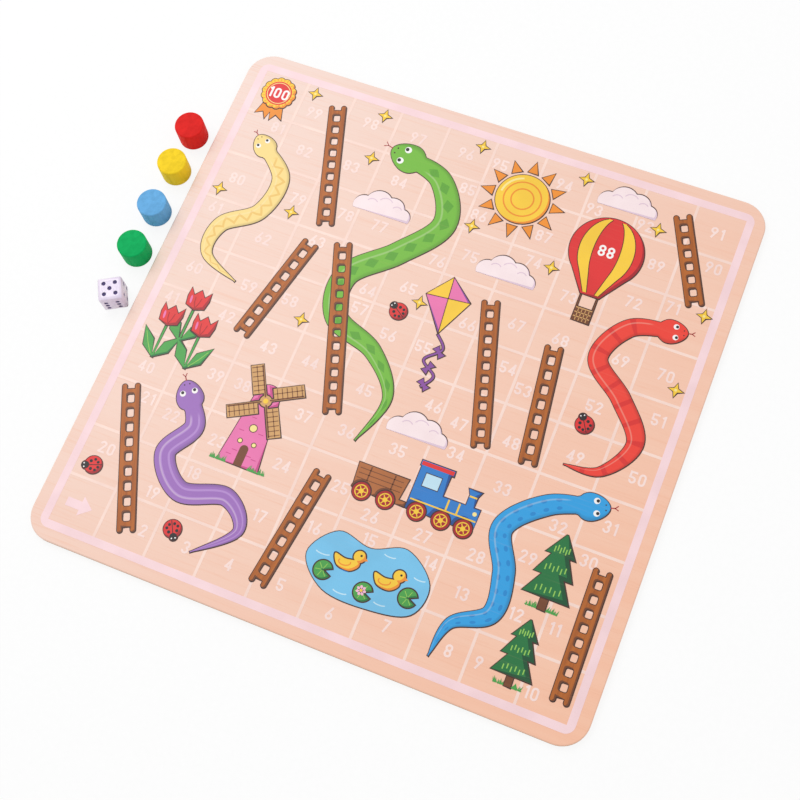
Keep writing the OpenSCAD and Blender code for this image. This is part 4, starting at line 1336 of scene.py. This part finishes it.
rosette = whole("rosette")
rosette_r = rosette.size.x / 2
PLEATS = 28
pleats = [spoke(rosette.centre, math.tau * i / PLEATS, rosette_r * 0.8, rosette_r * 0.94, FINE)
          for i in range(PLEATS)]
ring = arc(rosette.centre, rosette_r * 0.66, steps=48)
stamps(bar_stamp, "rosette_pleats", "orange", pleats)
details("rosette_disc", "red", plates=[arc(rosette.centre, rosette_r * 0.76, steps=48)])
details("rosette_ring", "pale_yellow", rings=[(ring, FINE)], layer=1)
print(len(heads), "ladybirds,", len(pleats), "pleats")

# %% [markdown]
# ## Counters
# The four counters are short pieces of dowel, cut, tumbled and dipped in paint, so their edges are
# rounded and the faint end grain shows through. Each is a profile spun round the counter's own axis.

# %% Turn the counters
SPIN_STEPS = 96
EASE_STEPS = 6
COUNTER_EASE = 1.0 * MM
COUNTERS = {"red": (227, 36, 33), "yellow": (250, 213, 38), "blue": (107, 176, 229), "green": (4, 176, 94)}


def painted_wood(name, colour, low, high):
    """Satin paint on a dowel, with its end grain under it."""
    finish = Finish(name)
    grain = finish.noise(finish.place((low + high) / 2, scale=(420, 420, 60)), 4.0)
    cloud = finish.noise(finish.place(scale=(130, 130, 130)), 2.0)
    tone = finish.mix(finish.step(grain, 0.35, 0.7), toned(colour, 1.04), toned(colour, 0.88))
    soft = finish.mix(finish.step(cloud, 0.3, 0.75) * 0.35, tone, toned(colour, 0.82))
    return finish.paint(soft, 0.5 + grain * 0.2, grain, 0.03 * MM, {"Specular IOR Level": 0.12})


def turned(name, low, high, material, slot):
    """A dowel with rounded rims, spun from its profile."""
    centre = (low + high) / 2
    radius = (high.x - low.x) / 2
    turn = [math.pi / 2 * i / EASE_STEPS for i in range(EASE_STEPS + 1)]
    inner = radius - COUNTER_EASE
    lower = [(inner + COUNTER_EASE * math.sin(a), low.z + COUNTER_EASE * (1 - math.cos(a))) for a in turn]
    upper = [(inner + COUNTER_EASE * math.cos(a), high.z - COUNTER_EASE * (1 - math.sin(a))) for a in turn]
    bm = bmesh.new()
    rings = []
    for r, z in lower + upper:
        rings.append([bm.verts.new((p.x, p.y, z)) for p in arc(centre.xy, r, steps=SPIN_STEPS)])
    for a, b in zip(rings, rings[1:]):
        for i in range(SPIN_STEPS):
            bm.faces.new((a[i - 1], a[i], b[i], b[i - 1]))
    bm.faces.new(rings[0][::-1])
    bm.faces.new(rings[-1])
    return keep(name, mesh_from(name, bm, material), name.replace("_turned", ""), smooth=True)


for name, colour in COUNTERS.items():
    node = name + "_counter"
    low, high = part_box(node)
    paint = painted_wood(name + "_paint", linear(*colour), low, high)
    counter = turned(node + "_turned", low, high, paint, "counter_" + name)
    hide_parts(node)
    print(counter.name, [round(v / MM, 1) for v in counter.dimensions])

# %% [markdown]
# ## Die
# The die is a small cube of beech with well rounded edges, dipped white and drilled for its spots. The
# solid one is right already, so its mesh is copied and merged, and only its shading is new. Plain smooth
# shading would make the flat faces look like pillows, so each corner takes the normal of the larger
# faces that meet there, and the walls of the holes keep their own.

# %% The die's paint and spots
SMOOTH_UNDER = math.radians(32)


def die_paint():
    """Cool white gloss with a faint cloudiness and the wood's grain under it."""
    finish = Finish("die_paint")
    low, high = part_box("die_cube")
    centre = (low + high) / 2
    cloud = finish.noise(finish.place(centre, scale=(110, 110, 110)), 2.0)
    grain = finish.noise(finish.place(centre, scale=(70, 600, 600)), 3.0)
    tone = finish.mix(finish.step(cloud, 0.3, 0.7), linear(240, 228, 244), linear(226, 212, 236))
    colour = finish.mix(finish.step(grain, 0.5, 0.8) * 0.12, tone, linear(196, 172, 204))
    gloss = {"Coat Weight": 0.4, "Coat Roughness": 0.15}
    return finish.paint(colour, 0.25 + grain * 0.15, grain, 0.02 * MM, gloss)


def spot_paint():
    """Thin violet-black paint that pools unevenly in the holes."""
    finish = Finish("spot_paint")
    pool = finish.noise(finish.place(scale=(900, 900, 900)), 2.0)
    colour = finish.mix(finish.step(pool, 0.35, 0.7), linear(44, 30, 84), linear(70, 50, 116))
    return finish.paint(colour, 0.4 + pool * 0.3, pool, 0.05 * MM)


def lean_to_large_faces(mesh):
    """Smooth normals weighted by area. A face that turns too far from them keeps its own."""
    sums = [Vector() for _ in mesh.vertices]
    for face in mesh.polygons:
        for corner in face.vertices:
            sums[corner] += face.normal * face.area
    normals = []
    for face in mesh.polygons:
        for corner in face.vertices:
            mean = sums[corner].normalized()
            normals.append(mean if face.normal.angle(mean) < SMOOTH_UNDER else face.normal)
    mesh.normals_split_custom_set(normals)


bm = bmesh.new()
bm.from_mesh(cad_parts["die_cube"].data)
bmesh.ops.remove_doubles(bm, verts=bm.verts, dist=WELD)
die = keep("die_block", mesh_from("die_block", bm, die_paint()), "die", smooth=True)
lean_to_large_faces(die.data)
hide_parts("die_cube")
dress(spot_paint(), "die_spots")
print("die", len(die.data.polygons), "faces")

# %% [markdown]
# ## Studio
# The picture has a white ground with hardly a shadow, and soft light from the upper left. The floor is
# plain white, and shows part of its own light to the camera alone, so the shadow stays faint. A large
# lamp gives the fall of light from left to right, and the sky fills the rest.

# %% Floor, sky and lamp
FLOOR_SIDE = 12.0
FLOOR_GLOW = 0.85
SKY = 0.74
LAMP_SIDE = 0.7
LAMP_WATTS = 4.4
LAMP_AT = Vector((-0.6, 0.35, 0.95))


def ground():
    """White cloth, lit by the lamps, with a share of plain white that only the camera sees."""
    finish = Finish("white_ground")
    cloth = finish.noise(finish.place(scale=(300, 300, 300)), 2.0)
    colour = finish.mix(finish.step(cloth, 0.3, 0.7), linear(252, 252, 252), linear(246, 246, 246))
    finish.paint(colour, 0.8 + cloth * 0.1)
    glow = finish.node("ShaderNodeEmission", None, {"Color": (1, 1, 1, 1), "Strength": 1.0})
    seen = finish.node("ShaderNodeLightPath", out="Is Camera Ray")
    both = finish.node("ShaderNodeMixShader", None,
                       {0: seen * FLOOR_GLOW, 1: Wire(finish, finish.shader.outputs[0]), 2: glow})
    finish.tree.links.new(both.socket, finish.tree.nodes["Material Output"].inputs["Surface"])
    return finish.material


bm = bmesh.new()
bmesh.ops.create_grid(bm, x_segments=8, y_segments=8, size=FLOOR_SIDE / 2)
floor = bpy.data.objects.new("floor", mesh_from("floor", bm, ground()))
floor.location.z = cad_low.z - 0.02 * MM
bpy.context.scene.collection.objects.link(floor)
floor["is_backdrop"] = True

world = bpy.data.worlds.new("sky")
bpy.context.scene.world = world
world.use_nodes = True
sky = Graph(world.node_tree)
seen = sky.node("ShaderNodeLightPath", out="Is Camera Ray")
sky.tree.links.new((SKY + seen * (1 - SKY)).socket, sky.tree.nodes["Background"].inputs["Strength"])
sky.tree.nodes["Background"].inputs["Color"].default_value = (1, 1, 1, 1)

lamp_data = bpy.data.lights.new("softbox", "AREA")
lamp_data.size = LAMP_SIDE
lamp_data.energy = LAMP_WATTS
lamp = bpy.data.objects.new("softbox", lamp_data)
lamp.location = LAMP_AT
lamp.rotation_mode = "QUATERNION"
lamp.rotation_quaternion = (-LAMP_AT).to_track_quat("-Z", "Y")
bpy.context.scene.collection.objects.link(lamp)
bpy.context.scene.view_settings.view_transform = "Standard"
print("lamp", LAMP_WATTS, "W, sky", SKY)

# %% [markdown]
# ## Close
# The size of the finished object's box is printed, to set beside the CAD box's size printed at the start.

# %% Sizes and finish
low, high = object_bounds()
print("visual box in mm:", [round(v / MM, 1) for v in high - low])
